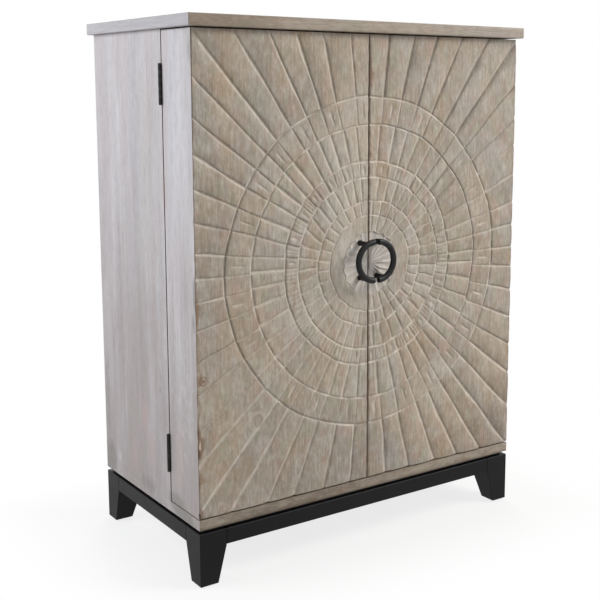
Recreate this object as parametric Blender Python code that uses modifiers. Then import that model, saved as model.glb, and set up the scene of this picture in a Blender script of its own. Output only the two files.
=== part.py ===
"""A bar cabinet: two deep doors carved with one sunburst, on a black base with tapered legs.

Metres, +Z up. The front faces -Y, and the origin is on the floor under the middle of the whole
object. Each door is a box with shelves for bottles, hung on two butt hinges at its outer back edge.
"""

import math

import bmesh
import bpy
from mathutils import Matrix

# Whole cabinet
overall_height = 1.219
carcass_width = 0.900
carcass_depth = 0.493
joint_gap = 0.0003
overrun = 0.002
edge_ease = 0.0008
weld_distance = 0.00001
smooth_angle = math.radians(40)

# Top slab
slab_thickness = 0.0254
slab_side_overhang = 0.011
slab_front_overhang = 0.0145
slab_back_overhang = 0.016
slab_ease = 0.0018

# Carcass boards
side_thickness = 0.020
back_thickness = 0.009
bottom_board_thickness = 0.023
shelf_thickness = 0.018
shelf_front_recess = 0.004
lower_bay_height = 0.215
middle_bay_height = 0.270

# Black base
glide_radius = 0.011
glide_height = 0.003
glide_sides = 20
leg_height = 0.1198
leg_width = 0.066
foot_width = 0.044
apron_height = 0.0356
apron_thickness = 0.024
base_ease = 0.001
spacer_height = 0.0088
spacer_inset = 0.012

# Deep doors
door_depth = 0.1327
door_end_gap = 0.003
meeting_gap = 0.003
meeting_offset = -0.005
panel_thickness = 0.018
door_board_thickness = 0.018
door_shelf_thickness = 0.012
door_tiers = 3
rail_height = 0.024
rail_thickness = 0.010
rail_lift = 0.070

# Sunburst carving
carving_x = 0.003
carving_lift = -0.0021
carving_radius = 0.381
ring_shares = (1.0, 0.835, 0.617, 0.522, 0.382, 0.294, 0.198)
ring_steps = 52
groove_width = 0.007
groove_depth = 0.003
# Each band of rays: the rings outside and inside it, and its sectors on one door
inner_bands = ((1, 2, 26), (3, 4, 20), (4, 5, 17))
outer_sectors = 26

# Split ring handle
handle_lift = 0.0039
handle_radius = 0.0435
handle_bar_radius = 0.0065
handle_standoff = 0.032
handle_end_setback = 0.006
handle_arc_steps = 18
handle_bar_resolution = 3
post_radius = 0.005
post_sides = 12
post_bearing = math.radians(65)

# Butt hinges
hinge_height = 0.085
hinge_inset = 0.112
barrel_radius = 0.0037
pin_radius = 0.00125
bore_clearance = 0.00025
leaf_thickness = 0.0011
leaf_width = 0.0155
leaf_clearance = 0.0005
knuckles = 5
knuckle_gap = 0.0004
barrel_steps = 12

# Stemware rails under the slab
stem_rail_pitch = 0.105
stem_rail_count = 3
stem_rail_setback = 0.070
stem_rail_back_gap = 0.0482
stem_web_width = 0.014
stem_web_height = 0.018
stem_flange_width = 0.052
stem_flange_thickness = 0.008

# Scalloped bars that bottles lie on
bottle_bar_height = 0.044
bottle_bar_thickness = 0.018
bottle_bar_front = 0.055
bottle_bar_back = 0.1032
bottle_places = 6
scallop_radius = 0.042
scallop_depth = 0.022
scallop_steps = 8

# Magnetic catches
catch_width = 0.018
catch_height = 0.022
catch_depth = 0.040
catch_offset = 0.036
strike_thickness = 0.0012
strike_height = 0.014

# Places worked out from the sizes
leaf_gap = 2 * leaf_thickness + 3 * joint_gap
front_reach = max(handle_standoff + handle_bar_radius, slab_front_overhang)
total_depth = front_reach + carcass_depth + slab_back_overhang
front_y = front_reach - total_depth / 2
back_y = front_y + carcass_depth
door_back_y = front_y + door_depth
hinge_y = door_back_y + leaf_gap / 2
carcass_front_y = door_back_y + leaf_gap
hinge_x = carcass_width / 2 + barrel_radius + joint_gap
base_top = glide_height + leg_height
wood_bottom = base_top + spacer_height
floor_top = wood_bottom + bottom_board_thickness
slab_bottom = overall_height - slab_thickness
door_bottom = floor_top + door_end_gap
door_top = slab_bottom - door_end_gap
door_middle_z = (door_bottom + door_top) / 2
carving_z = door_middle_z + carving_lift
handle_z = door_middle_z + handle_lift
carcass_bottom = floor_top + joint_gap
carcass_top = slab_bottom - joint_gap
back_panel_front = back_y - back_thickness
inner_half_width = carcass_width / 2 - side_thickness - joint_gap


def linear(red, green, blue):
    """Colour read from a screen, 0 to 255, as linear light."""
    return tuple(((value / 255 + 0.055) / 1.055) ** 2.4 for value in (red, green, blue))


def make_material(name, colour, roughness, metallic=0.0):
    material = bpy.data.materials.new(name)
    material.use_nodes = True
    shader = material.node_tree.nodes["Principled BSDF"]
    shader.inputs["Base Color"].default_value = (*linear(*colour), 1.0)
    shader.inputs["Roughness"].default_value = roughness
    shader.inputs["Metallic"].default_value = metallic
    material.diffuse_color = (*linear(*colour), 1.0)
    return material


def new_collection(name):
    collection = bpy.data.collections.new(name)
    bpy.context.scene.collection.children.link(collection)
    return collection


def add_object(name, data, material=None, cutter=False):
    """Put mesh or curve data into the scene; a cutter goes into the collection of cutters."""
    obj = bpy.data.objects.new(name, data)
    (cutters if cutter else cabinet).objects.link(obj)
    if cutter:
        obj.hide_render = True
        obj.display_type = "WIRE"
    if material:
        data.materials.append(material)
    return obj


def hang_on(obj, parent):
    """Parent an object to a hinge axis and keep its place in the world."""
    bpy.context.view_layer.update()
    obj.parent = parent
    obj.matrix_parent_inverse = parent.matrix_world.inverted()


def mesh_from(bm, name):
    mesh = bpy.data.meshes.new(name)
    bm.to_mesh(mesh)
    bm.free()
    return mesh


def smooth(mesh):
    mesh.shade_smooth()
    mesh.set_sharp_from_angle(angle=smooth_angle)


def board(name, across, along, up, material, parent=None, ease=edge_ease):
    """A straight board between two places on each axis, with its edges eased."""
    spans = [sorted(span) for span in (across, along, up)]
    bm = bmesh.new()
    bmesh.ops.create_cube(bm, size=1)
    bmesh.ops.scale(bm, vec=[high - low for low, high in spans], verts=bm.verts)
    obj = add_object(name, mesh_from(bm, name), material)
    obj.location = [(low + high) / 2 for low, high in spans]
    if parent:
        hang_on(obj, parent)
    if ease:
        bevel = obj.modifiers.new("eased edges", "BEVEL")
        bevel.width = ease
        bevel.segments = 1
    return obj


def cylinder(name, radius, length, sides, matrix, material=None, cutter=False):
    bm = bmesh.new()
    bmesh.ops.create_cone(
        bm, cap_ends=True, segments=sides, radius1=radius, radius2=radius, depth=length
    )
    mesh = mesh_from(bm, name)
    smooth(mesh)
    obj = add_object(name, mesh, material, cutter=cutter)
    obj.matrix_world = matrix
    return obj


def outline_board(name, points, thickness, middle_y, material=None):
    """A flat outline of (x, z) points, made as thick as asked about a place along Y."""
    curve = bpy.data.curves.new(name, "CURVE")
    curve.dimensions = "2D"
    curve.fill_mode = "BOTH"
    curve.extrude = thickness / 2
    spline = curve.splines.new("POLY")
    spline.points.add(len(points) - 1)
    for point, (x, z) in zip(spline.points, points):
        point.co = (x, z, 0, 1)
    spline.use_cyclic_u = True
    obj = add_object(name, curve, material)
    obj.rotation_euler = (math.pi / 2, 0, 0)
    obj.location = (0, middle_y, 0)
    return obj


def as_mesh(curve_object):
    """The same shape as a mesh, which a Boolean can take."""
    bpy.context.view_layer.update()
    graph = bpy.context.evaluated_depsgraph_get()
    mesh = bpy.data.meshes.new_from_object(curve_object.evaluated_get(graph))
    bm = bmesh.new()
    bm.from_mesh(mesh)
    bmesh.ops.remove_doubles(bm, verts=bm.verts, dist=weld_distance)
    bmesh.ops.recalc_face_normals(bm, faces=bm.faces)
    bm.to_mesh(mesh)
    bm.free()
    name = curve_object.name
    matrix = curve_object.matrix_world.copy()
    curve = curve_object.data
    bpy.data.objects.remove(curve_object)
    bpy.data.curves.remove(curve)
    obj = add_object(name, mesh)
    obj.matrix_world = matrix
    return obj


def turned(name, profiles, steps, closed):
    """A cutter or joined piece turned about its own Z from (radius, height) profiles."""
    mesh = bpy.data.meshes.new(name)
    points = []
    edges = []
    for profile in profiles:
        first = len(points)
        points += [(radius, 0, height) for radius, height in profile]
        edges += [(first + i, first + i + 1) for i in range(len(profile) - 1)]
        if closed:
            edges.append((len(points) - 1, first))
    mesh.from_pydata(points, edges, [])
    obj = add_object(name, mesh, cutter=True)
    screw = obj.modifiers.new("turn", "SCREW")
    screw.angle = 2 * math.pi
    screw.steps = steps
    screw.render_steps = steps
    screw.use_merge_vertices = True
    screw.merge_threshold = weld_distance
    return obj


def combine(obj, operand, operation):
    boolean = obj.modifiers.new(operand.name, "BOOLEAN")
    boolean.operation = operation
    boolean.object = operand
    boolean.solver = "EXACT"


def make_base():
    """Four tapered legs on glides, four aprons between them and the spacer that makes the shadow gap."""
    half_width = carcass_width / 2
    for side_name, side in (("left", -1), ("right", 1)):
        for end_name, outer_y, inward in (("front", front_y, 1), ("back", back_y, -1)):
            name = f"{end_name}_{side_name}"
            make_leg(f"base_leg_{name}", side * half_width, outer_y, -side, inward)
            centre = (
                side * (half_width - foot_width / 2),
                outer_y + inward * foot_width / 2,
                (glide_height - joint_gap) / 2,
            )
            cylinder(
                f"foot_glide_{name}",
                glide_radius,
                glide_height - joint_gap,
                glide_sides,
                Matrix.Translation(centre),
                glide_plastic,
            )
    reach = half_width - leg_width - joint_gap
    heights = (base_top - apron_height, base_top)
    for name, outer, inward in (("front", front_y, 1), ("back", back_y, -1)):
        thick = (outer, outer + inward * apron_thickness)
        board(f"base_apron_{name}", (-reach, reach), thick, heights, black_wood, ease=base_ease)
    lengths = (front_y + leg_width + joint_gap, back_y - leg_width - joint_gap)
    for name, side in (("left", -1), ("right", 1)):
        thick = (side * half_width, side * (half_width - apron_thickness))
        board(f"base_apron_{name}", thick, lengths, heights, black_wood, ease=base_ease)
    board(
        "base_spacer",
        (spacer_inset - half_width, half_width - spacer_inset),
        (front_y + spacer_inset, back_y - spacer_inset),
        (base_top + joint_gap, wood_bottom - joint_gap),
        black_wood,
    )


def make_leg(name, corner_x, corner_y, toward_x, toward_y):
    """A square post, cut round at the apron's lower edge, with its foot drawn in on the two inner faces."""
    bm = bmesh.new()
    bmesh.ops.create_cube(bm, size=1)
    bmesh.ops.scale(bm, vec=(leg_width, leg_width, leg_height), verts=bm.verts)
    bmesh.ops.translate(bm, vec=(0, 0, leg_height / 2), verts=bm.verts)
    bmesh.ops.bisect_plane(
        bm,
        geom=bm.verts[:] + bm.edges[:] + bm.faces[:],
        plane_co=(0, 0, leg_height - apron_height),
        plane_no=(0, 0, 1),
    )
    taper = leg_width - foot_width
    for vertex in bm.verts:
        if vertex.co.z < (leg_height - apron_height) / 2:
            vertex.co.x -= taper * toward_x if vertex.co.x * toward_x > 0 else 0
            vertex.co.y -= taper * toward_y if vertex.co.y * toward_y > 0 else 0
    obj = add_object(name, mesh_from(bm, name), black_wood)
    obj.location = (
        corner_x + toward_x * leg_width / 2,
        corner_y + toward_y * leg_width / 2,
        glide_height,
    )
    bevel = obj.modifiers.new("eased edges", "BEVEL")
    bevel.width = base_ease
    bevel.segments = 1


def make_carcass():
    """The slab, the sides, the floor and back, two shelves and what hangs or stands on them."""
    half_width = carcass_width / 2
    slab_half_width = half_width + slab_side_overhang
    board(
        "top_slab",
        (-slab_half_width, slab_half_width),
        (front_y - slab_front_overhang, back_y + slab_back_overhang),
        (slab_bottom, overall_height),
        pale_wood,
        ease=slab_ease,
    )
    board(
        "bottom_board",
        (-half_width, half_width),
        (front_y, back_y),
        (wood_bottom, floor_top),
        pale_wood,
        ease=slab_ease,
    )
    heights = (carcass_bottom, carcass_top)
    for name, side in (("left", -1), ("right", 1)):
        thick = (side * half_width, side * (half_width - side_thickness))
        board(f"side_panel_{name}", thick, (carcass_front_y, back_y), heights, pale_wood)
    across = (-inner_half_width, inner_half_width)
    board("back_panel", across, (back_panel_front, back_y), heights, pale_wood)
    shelf_lengths = (carcass_front_y + shelf_front_recess, back_panel_front - joint_gap)
    lower_shelf = floor_top + lower_bay_height
    middle_shelf = lower_shelf + shelf_thickness + middle_bay_height
    for name, low in (("lower_shelf", lower_shelf), ("middle_shelf", middle_shelf)):
        board(name, across, shelf_lengths, (low, low + shelf_thickness), inner_wood)


def make_stemware_rails():
    """T-shaped rails that the feet of glasses slide along, side by side under the slab."""
    top = carcass_top
    flange_top = top - stem_web_height
    bottom = flange_top - stem_flange_thickness
    start = carcass_front_y + stem_rail_setback
    end = back_panel_front - stem_rail_back_gap
    for index in range(stem_rail_count):
        middle = (index - (stem_rail_count - 1) / 2) * stem_rail_pitch
        web = stem_web_width / 2
        flange = stem_flange_width / 2
        half = [(web, top), (web, flange_top), (flange, flange_top), (flange, bottom)]
        points = [(middle + x, z) for x, z in half]
        points += [(middle - x, z) for x, z in reversed(half)]
        outline_board(
            f"stemware_rail_{index + 1}",
            points,
            end - start,
            (start + end) / 2,
            inner_wood,
        )


def make_bottle_bars():
    """Two bars on the cabinet's floor with a row of scallops, one for each bottle."""
    base = floor_top + joint_gap
    top = base + bottle_bar_height
    half_length = inner_half_width
    pitch = 2 * half_length / bottle_places
    opening = math.acos(1 - scallop_depth / scallop_radius)
    centre_z = top - scallop_depth + scallop_radius
    points = [(-half_length, top), (-half_length, base), (half_length, base), (half_length, top)]
    for place in reversed(range(bottle_places)):
        centre_x = place * pitch + pitch / 2 - half_length
        for step in range(scallop_steps + 1):
            bearing = opening * (1 - 2 * step / scallop_steps)
            points.append(
                (
                    centre_x + scallop_radius * math.sin(bearing),
                    centre_z - scallop_radius * math.cos(bearing),
                )
            )
    front = carcass_front_y + bottle_bar_front
    back = back_panel_front - bottle_bar_back
    for name, middle_y in (("front", front), ("back", back)):
        outline_board(f"bottle_bar_{name}", points, bottle_bar_thickness, middle_y, inner_wood)


def make_catches():
    """One magnetic catch for each door, under the slab beside the doors' meeting edges."""
    for name, side in (("left", -1), ("right", 1)):
        middle = meeting_offset + side * catch_offset
        board(
            f"catch_{name}",
            (middle - catch_width / 2, middle + catch_width / 2),
            (door_back_y + strike_thickness + 2 * joint_gap, carcass_front_y + catch_depth),
            (carcass_top - catch_height, carcass_top),
            catch_plastic,
        )


def make_carving_cutters():
    """The grooves of the sunburst: rings about one centre, and rays between the rings."""
    flare = (groove_depth + overrun) / groove_depth
    half_width = groove_width / 2 * flare
    radii = [carving_radius * share for share in ring_shares]
    profiles = [
        ((r + half_width, overrun), (r, -groove_depth), (r - half_width, overrun)) for r in radii
    ]
    rings = turned("ring_grooves", profiles, ring_steps, closed=True)
    rings.rotation_euler = (math.pi / 2, 0, 0)
    rings.location = (carving_x, front_y, carving_z)

    reach = math.hypot(carcass_width, door_top - door_bottom)
    bands = [(reach, radii[0] + groove_width, outer_sectors)]
    for outer, inner, sectors in inner_bands:
        bands.append((radii[outer] - groove_width, radii[inner] + groove_width, sectors))
    bm = bmesh.new()
    for outer, inner, sectors in bands:
        for index in range(1, sectors):
            for side in (-1, 1):
                bearing = side * index * math.pi / sectors
                add_ray(bm, bearing, inner, outer, half_width)
    rays = add_object("ray_grooves", mesh_from(bm, "ray_grooves"), cutter=True)
    rays.location = (carving_x, front_y, carving_z)
    return rings, rays


def add_ray(bm, bearing, inner, outer, half_width):
    """A three-sided prism along a ray, its edge down in the wood. A unit prism is scaled to size."""
    prism_half_width = math.sqrt(3) / 2
    prism_height = 1.5
    height = groove_depth + overrun
    across = half_width / prism_half_width
    deep = height / prism_height
    sine = math.sin(bearing)
    cosine = math.cos(bearing)
    length = outer - inner
    middle = (outer + inner) / 2
    matrix = Matrix(
        (
            (cosine * across, 0, sine * length, sine * middle),
            (0, deep, 0, groove_depth - deep),
            (-sine * across, 0, cosine * length, cosine * middle),
            (0, 0, 0, 1),
        )
    )
    bmesh.ops.create_cone(
        bm, cap_ends=True, segments=3, radius1=1, radius2=1, depth=1, matrix=matrix
    )


def make_door(name, side, grooves):
    """One deep door, all of it on the axis of its two hinges."""
    axis = bpy.data.objects.new(f"{name}_hinge_axis", None)
    cabinet.objects.link(axis)
    axis.location = (side * hinge_x, hinge_y, 0)

    outer = side * carcass_width / 2
    meeting = meeting_offset + side * meeting_gap / 2
    heights = (door_bottom, door_top)
    panel = board(
        f"{name}_carved_panel",
        (outer, meeting),
        (front_y, front_y + panel_thickness),
        heights,
        carved_wood,
        axis,
        ease=0,
    )
    for groove in grooves:
        combine(panel, groove, "DIFFERENCE")

    box = (front_y + panel_thickness + joint_gap, door_back_y)
    outer_inside = outer - side * door_board_thickness
    meeting_inside = meeting + side * door_board_thickness
    board(f"{name}_outer_side", (outer, outer_inside), box, heights, pale_wood, axis)
    board(f"{name}_meeting_side", (meeting, meeting_inside), box, heights, pale_wood, axis)
    between = (outer_inside - side * joint_gap, meeting_inside + side * joint_gap)
    low = (door_bottom, door_bottom + door_board_thickness)
    high = (door_top - door_board_thickness, door_top)
    board(f"{name}_bottom_board", between, box, low, inner_wood, axis)
    board(f"{name}_top_board", between, box, high, inner_wood, axis)

    tier = (high[0] - low[1] - (door_tiers - 1) * door_shelf_thickness) / door_tiers
    rail_span = (door_back_y - rail_thickness, door_back_y)
    for index in range(door_tiers):
        floor = low[1] + index * (tier + door_shelf_thickness)
        if index:
            shelf = (floor - door_shelf_thickness, floor)
            board(f"{name}_shelf_{index}", between, box, shelf, inner_wood, axis)
        rail = (floor + rail_lift, floor + rail_lift + rail_height)
        board(f"{name}_rail_{index + 1}", between, rail_span, rail, inner_wood, axis)

    strike = meeting_offset + side * catch_offset
    board(
        f"{name}_strike_plate",
        (strike - catch_width / 2, strike + catch_width / 2),
        (door_back_y + joint_gap, door_back_y + joint_gap + strike_thickness),
        (door_top - joint_gap - strike_height, door_top - joint_gap),
        bright_steel,
        axis,
        ease=0,
    )
    make_handle(name, side, axis)
    make_hinge(name, "lower", side, door_bottom + hinge_inset, axis)
    make_hinge(name, "upper", side, door_top - hinge_inset, axis)


def make_handle(name, side, axis):
    """Half of the ring handle: a round bar bent to half a circle, on two posts."""
    centre_x = meeting_offset + side * handle_end_setback
    ring_y = front_y - handle_standoff
    curve = bpy.data.curves.new(f"{name}_handle", "CURVE")
    curve.dimensions = "3D"
    curve.bevel_depth = handle_bar_radius
    curve.bevel_resolution = handle_bar_resolution
    curve.use_fill_caps = True
    spline = curve.splines.new("POLY")
    spline.points.add(handle_arc_steps)
    for index, point in enumerate(spline.points):
        bearing = math.pi * index / handle_arc_steps
        x = side * handle_radius * math.sin(bearing)
        point.co = (x, 0, handle_radius * math.cos(bearing), 1)
    bar = add_object(f"{name}_handle", curve)
    bar.location = (centre_x, ring_y, handle_z)
    handle = as_mesh(bar)
    handle.data.materials.append(black_metal)
    smooth(handle.data)
    length = handle_standoff - joint_gap
    for post_name, up in (("lower", -1), ("upper", 1)):
        place = (
            centre_x + side * handle_radius * math.cos(post_bearing),
            ring_y + length / 2,
            handle_z + up * handle_radius * math.sin(post_bearing),
        )
        matrix = Matrix.Translation(place) @ Matrix.Rotation(math.pi / 2, 4, "X")
        post = cylinder(
            f"{name}_{post_name}_post", post_radius, length, post_sides, matrix, cutter=True
        )
        combine(handle, post, "UNION")
    hang_on(handle, axis)


def make_hinge(door_name, level, side, middle_z, axis):
    """A butt hinge: the frame's leaf carries the pin, and the door's leaf has bored knuckles."""
    length = (hinge_height - (knuckles - 1) * knuckle_gap) / knuckles
    bottom = middle_z - hinge_height / 2
    lows = [bottom + index * (length + knuckle_gap) for index in range(knuckles)]
    spans = [(low, low + length) for low in lows]
    bore_radius = pin_radius + bore_clearance

    bored = [
        ((barrel_radius, high), (barrel_radius, low), (bore_radius, low), (bore_radius, high))
        for low, high in spans[1::2]
    ]
    offset = (joint_gap + leaf_thickness) / 2
    leaves = (
        ("frame_leaf", 0, [pin_profile(spans)], False, offset, None),
        ("door_leaf", 1, bored, True, -offset, axis),
    )
    for leaf_name, first, profiles, closed, leaf_y, parent in leaves:
        name = f"{door_name}_{level}_hinge_{leaf_name}"
        barrel = turned(f"{name}_barrel", profiles, barrel_steps, closed)
        barrel.location = (side * hinge_x, hinge_y, 0)
        points = leaf_outline(side, spans, first, (barrel_radius + bore_radius) / 2)
        leaf = as_mesh(outline_board(name, points, leaf_thickness, hinge_y + leaf_y))
        leaf.data.materials.append(black_metal)
        combine(leaf, barrel, "UNION")
        if parent:
            hang_on(leaf, parent)


def pin_profile(spans):
    """The frame's knuckles on their pin, from the top down: full radius at every other span."""
    top = spans[-1][1]
    profile = [(0, top)]
    if len(spans) % 2 == 0:
        profile += [(pin_radius, top), (pin_radius, spans[-2][1])]
    for index in reversed(range(0, len(spans), 2)):
        low, high = spans[index]
        profile += [(barrel_radius, high), (barrel_radius, low)]
        if index:
            profile += [(pin_radius, low), (pin_radius, spans[index - 2][1])]
    return profile + [(0, spans[0][0])]


def leaf_outline(side, spans, first, tip):
    """A plate with a tab at every other knuckle: a little shorter, and ending inside its wall."""
    near = barrel_radius + leaf_clearance
    far = near + leaf_width
    bottom = spans[0][0]
    top = spans[-1][1]
    inset = knuckle_gap / 2
    points = [(far, top), (far, bottom), (near, bottom)]
    for low, high in spans[first::2]:
        points += [(near, low + inset), (tip, low + inset), (tip, high - inset), (near, high - inset)]
    points.append((near, top))
    return [(side * (hinge_x - distance), z) for distance, z in points]


for old in list(bpy.data.objects):
    bpy.data.objects.remove(old)

cabinet = new_collection("bar_cabinet")
cutters = new_collection("cutters")
cutters.hide_render = True

pale_wood = make_material("whitewashed_wood", (182, 178, 178), 0.62)
carved_wood = make_material("carved_wood", (158, 146, 130), 0.66)
inner_wood = make_material("inner_wood", (146, 134, 118), 0.6)
black_wood = make_material("black_wood", (38, 38, 40), 0.5)
black_metal = make_material("black_metal", (30, 30, 32), 0.42, 0.8)
bright_steel = make_material("bright_steel", (176, 178, 180), 0.3, 1.0)
catch_plastic = make_material("catch_plastic", (52, 42, 34), 0.5)
glide_plastic = make_material("glide_plastic", (196, 196, 194), 0.45)

make_base()
make_carcass()
make_stemware_rails()
make_bottle_bars()
make_catches()
carving = make_carving_cutters()
make_door("left_door", -1, carving)
make_door("right_door", 1, carving)
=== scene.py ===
"""The look of the bar cabinet: carved doors, grey washed wood, black base, hinges and ring handle.

Metres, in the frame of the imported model: +Z up, and the front faces -Y. Each new piece is a grid of
points worked out with numpy, and each finish is a set of shader nodes written as sums.
"""

import math

import bpy
import numpy as np
from mathutils import Matrix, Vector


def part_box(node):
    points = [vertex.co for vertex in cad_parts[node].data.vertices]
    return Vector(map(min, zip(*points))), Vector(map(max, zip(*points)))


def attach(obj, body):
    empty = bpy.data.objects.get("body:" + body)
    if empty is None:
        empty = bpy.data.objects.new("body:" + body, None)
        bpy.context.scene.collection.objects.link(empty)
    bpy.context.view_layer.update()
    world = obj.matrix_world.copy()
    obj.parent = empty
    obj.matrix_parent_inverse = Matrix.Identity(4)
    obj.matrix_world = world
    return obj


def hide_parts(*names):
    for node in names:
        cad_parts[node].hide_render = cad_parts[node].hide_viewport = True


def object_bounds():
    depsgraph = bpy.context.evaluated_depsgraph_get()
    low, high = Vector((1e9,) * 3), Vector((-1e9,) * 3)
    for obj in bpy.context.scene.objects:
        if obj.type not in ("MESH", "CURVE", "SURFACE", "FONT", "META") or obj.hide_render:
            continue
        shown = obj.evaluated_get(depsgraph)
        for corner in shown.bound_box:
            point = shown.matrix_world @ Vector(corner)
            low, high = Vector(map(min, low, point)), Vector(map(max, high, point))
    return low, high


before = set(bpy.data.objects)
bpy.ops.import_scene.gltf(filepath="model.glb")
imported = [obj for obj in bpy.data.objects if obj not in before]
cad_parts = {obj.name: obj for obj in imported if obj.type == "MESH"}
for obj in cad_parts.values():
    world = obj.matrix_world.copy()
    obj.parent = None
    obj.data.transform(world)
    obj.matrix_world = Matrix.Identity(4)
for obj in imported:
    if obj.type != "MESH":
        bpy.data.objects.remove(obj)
cad_box = [list(corner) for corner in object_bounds()]
scene = bpy.context.scene
millimetre = 0.001

# Camera, fitted to the corners of the cabinet in the photograph
image_side_px = 600
optical_centre_px = (350, 250)
focal_length_px = 1068.2
sensor_width_mm = 36.0
camera_place = (-1.4546, -2.1855, 1.0711)
camera_yaw = 0.6220
camera_pitch = 0.1503
camera_roll = 0.0027

# Studio
sky_strength = 0.33
floor_colour = (224, 224, 224)
floor_half_side = 9.0
floor_drop = 0.0002
floor_fade_length = 0.30
floor_glow = 0.80

# Soft boxes: name, place, target, size, watts and colour
soft_boxes = (
    ("left_soft_box", (-2.6, 0.7, 2.0), (-0.45, 0.0, 0.7), 1.6, 56, (0.94, 0.96, 1.0)),
    ("right_soft_box", (2.4, -2.28, 3.1), (0, -0.23, 0.65), 1.7, 142, (1.0, 0.97, 0.93)),
    ("back_soft_box", (1.6, 3.2, 2.4), (0, 0.2, 0.6), 2.0, 70, (1.0, 0.99, 0.97)),
)

# Sunburst carving, about one centre; the rings run outside in
carving_x = 0.003
carving_z = 0.672
ring_radii = (0.381, 0.318, 0.235, 0.199, 0.1455, 0.112, 0.0755)
ring_widths = (0.0042, 0.0038, 0.0042, 0.0038, 0.0038, 0.0032, 0.0026)
ring_depths = (0.0029, 0.0023, 0.0024, 0.0019, 0.0019, 0.0017, 0.0008)
# Bearings of the cuts on each door, in degrees from the top: rays outside the second ring, rays between
# the second and fourth, and those of the two bands round the rosette
ray_bearings = {
    "left": (
        (
            6.2, 14.4, 21.2, 27.5, 34.4, 41.2, 46.9, 53.1, 59.7, 66.9, 74.7, 82.5, 89.1,
            95.6, 103.1, 111.2, 118.5, 126, 131.5, 138.1, 144.1, 151.2, 157.5, 165.6, 173.7,
        ),
        (
            7.2, 13.9, 20.6, 26.8, 33.4, 41, 46.9, 52.8, 59.6, 66.9, 74.6, 82.3, 88.4,
            94.8, 102.2, 110.5, 118.1, 125.8, 132, 138.4, 144.8, 151.8, 158.4, 165.6, 173.2,
        ),
        (
            7.2, 14.8, 22.8, 30.5, 38.5, 46.8, 56.8, 65.2, 73.6, 81.6, 89.5,
            96.8, 105.5, 114.5, 124, 132.5, 141.2, 149.8, 157.8, 166, 173.6,
        ),
        (10, 20.5, 31, 41, 51.2, 62.3, 72.5, 82.5, 93.5, 104, 114.5, 125.2, 136, 146.3, 157, 167.5),
    ),
    "right": (
        (
            5.6, 13.4, 20.4, 27.5, 34.4, 41, 47.5, 53.8, 60, 67.5, 75.4, 82.5, 89.8,
            96.3, 103.8, 112, 119.6, 126.3, 132.9, 139.4, 145.6, 151.9, 158.5, 166.9, 174.4,
        ),
        (
            5, 12.6, 19.6, 26.2, 33.5, 40.7, 47.2, 53.8, 60.3, 67.4, 75.4, 82.6, 89.4,
            94.8, 102.2, 110.5, 118.4, 125.6, 132.4, 138.6, 145.4, 152, 158.9, 166.9, 175,
        ),
        (
            7.2, 15.2, 23, 31.3, 39.3, 47.5, 56.5, 64.5, 72.5, 80.5, 89,
            96.2, 104.5, 113.2, 122.6, 131, 139.8, 150.4, 160.4, 169, 176.2,
        ),
        (4, 13.5, 24, 34.5, 45, 56, 65.8, 76, 86.5, 97, 107.6, 118.4, 128.8, 139.8, 150.6, 161.4, 172.3),
    ),
}
# Rays band by band from the outside: which bearings, half width, depth, and how full of wash
ray_cuts = (
    (0, 0.0062, 0.0032, 0.8),
    (0, 0.0042, 0.0014, 0.6),
    (1, 0.0070, 0.0026, 0.7),
    (1, 0.0044, 0.0014, 0.55),
    (2, 0.0060, 0.0019, 0.65),
    (3, 0.0056, 0.0016, 0.65),
)
# Outer rays cut deeper or lighter than the rest, by bearing
outer_ray_force = {
    "left": {6.2: 0.8, 34.4: 1.15},
    "right": {34.4: 1.05, 41: 1.15, 47.5: 0.7, 53.8: 1.2, 60: 0.8},
}
# A stretch of a ring that is hardly cut: its number and two bearings
faint_rings = {"left": (), "right": ((1, 127, 164), (0, 128, 163))}
# A stretch of rays with painted shade in the cut instead of wash, and a little wider: the band from
# the outside and two bearings
shade_painted_rays = {
    "left": ((0, 108, 124), (1, 20, 72), (3, 20, 80)),
    "right": ((0, 10, 60), (1, 28, 70), (2, 44, 66), (3, 36, 70)),
}
# Stretches of a ring, by its number and two bearings, where painted shade lies in the cut instead of wash
darkened_rings = {
    "left": ((0, 22, 125), (5, 40, 150), (1, 60, 80), (2, 70, 108)),
    "right": ((1, 8, 122), (0, 60, 104), (3, 40, 98), (2, 70, 120)),
}
# Brown stains and knots on the fronts, and painted shade beside the seam: X and Z of the middle, half
# width, half height, how dark
stains = (
    (-0.436, 0.462, 0.016, 0.022, 0.9),
    (-0.441, 0.322, 0.015, 0.036, 1.0),
    (-0.438, 0.246, 0.013, 0.022, 0.7),
    (-0.449, 0.168, 0.012, 0.018, 1.0),
    (-0.282, 0.222, 0.018, 0.062, 0.6),
    (-0.160, 0.214, 0.035, 0.050, 0.45),
    (-0.307, 0.338, 0.015, 0.022, 0.45),
    (-0.205, 0.560, 0.030, 0.030, 0.35),
    (-0.430, 0.610, 0.040, 0.035, 0.45),
    (0.085, 0.335, 0.055, 0.022, 0.45),
    (0.310, 0.335, 0.030, 0.016, 0.35),
    (0.335, 0.700, 0.012, 0.050, 0.40),
    (0.330, 1.110, 0.035, 0.055, 0.35),
    # The next two darken the right door beside the seam: painted shade there, with some real stain
    (0.006, 1.105, 0.010, 0.080, 0.7),
    (0.006, 0.900, 0.009, 0.170, 0.6),
    (-0.120, 1.125, 0.040, 0.040, 0.30),
)
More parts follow.
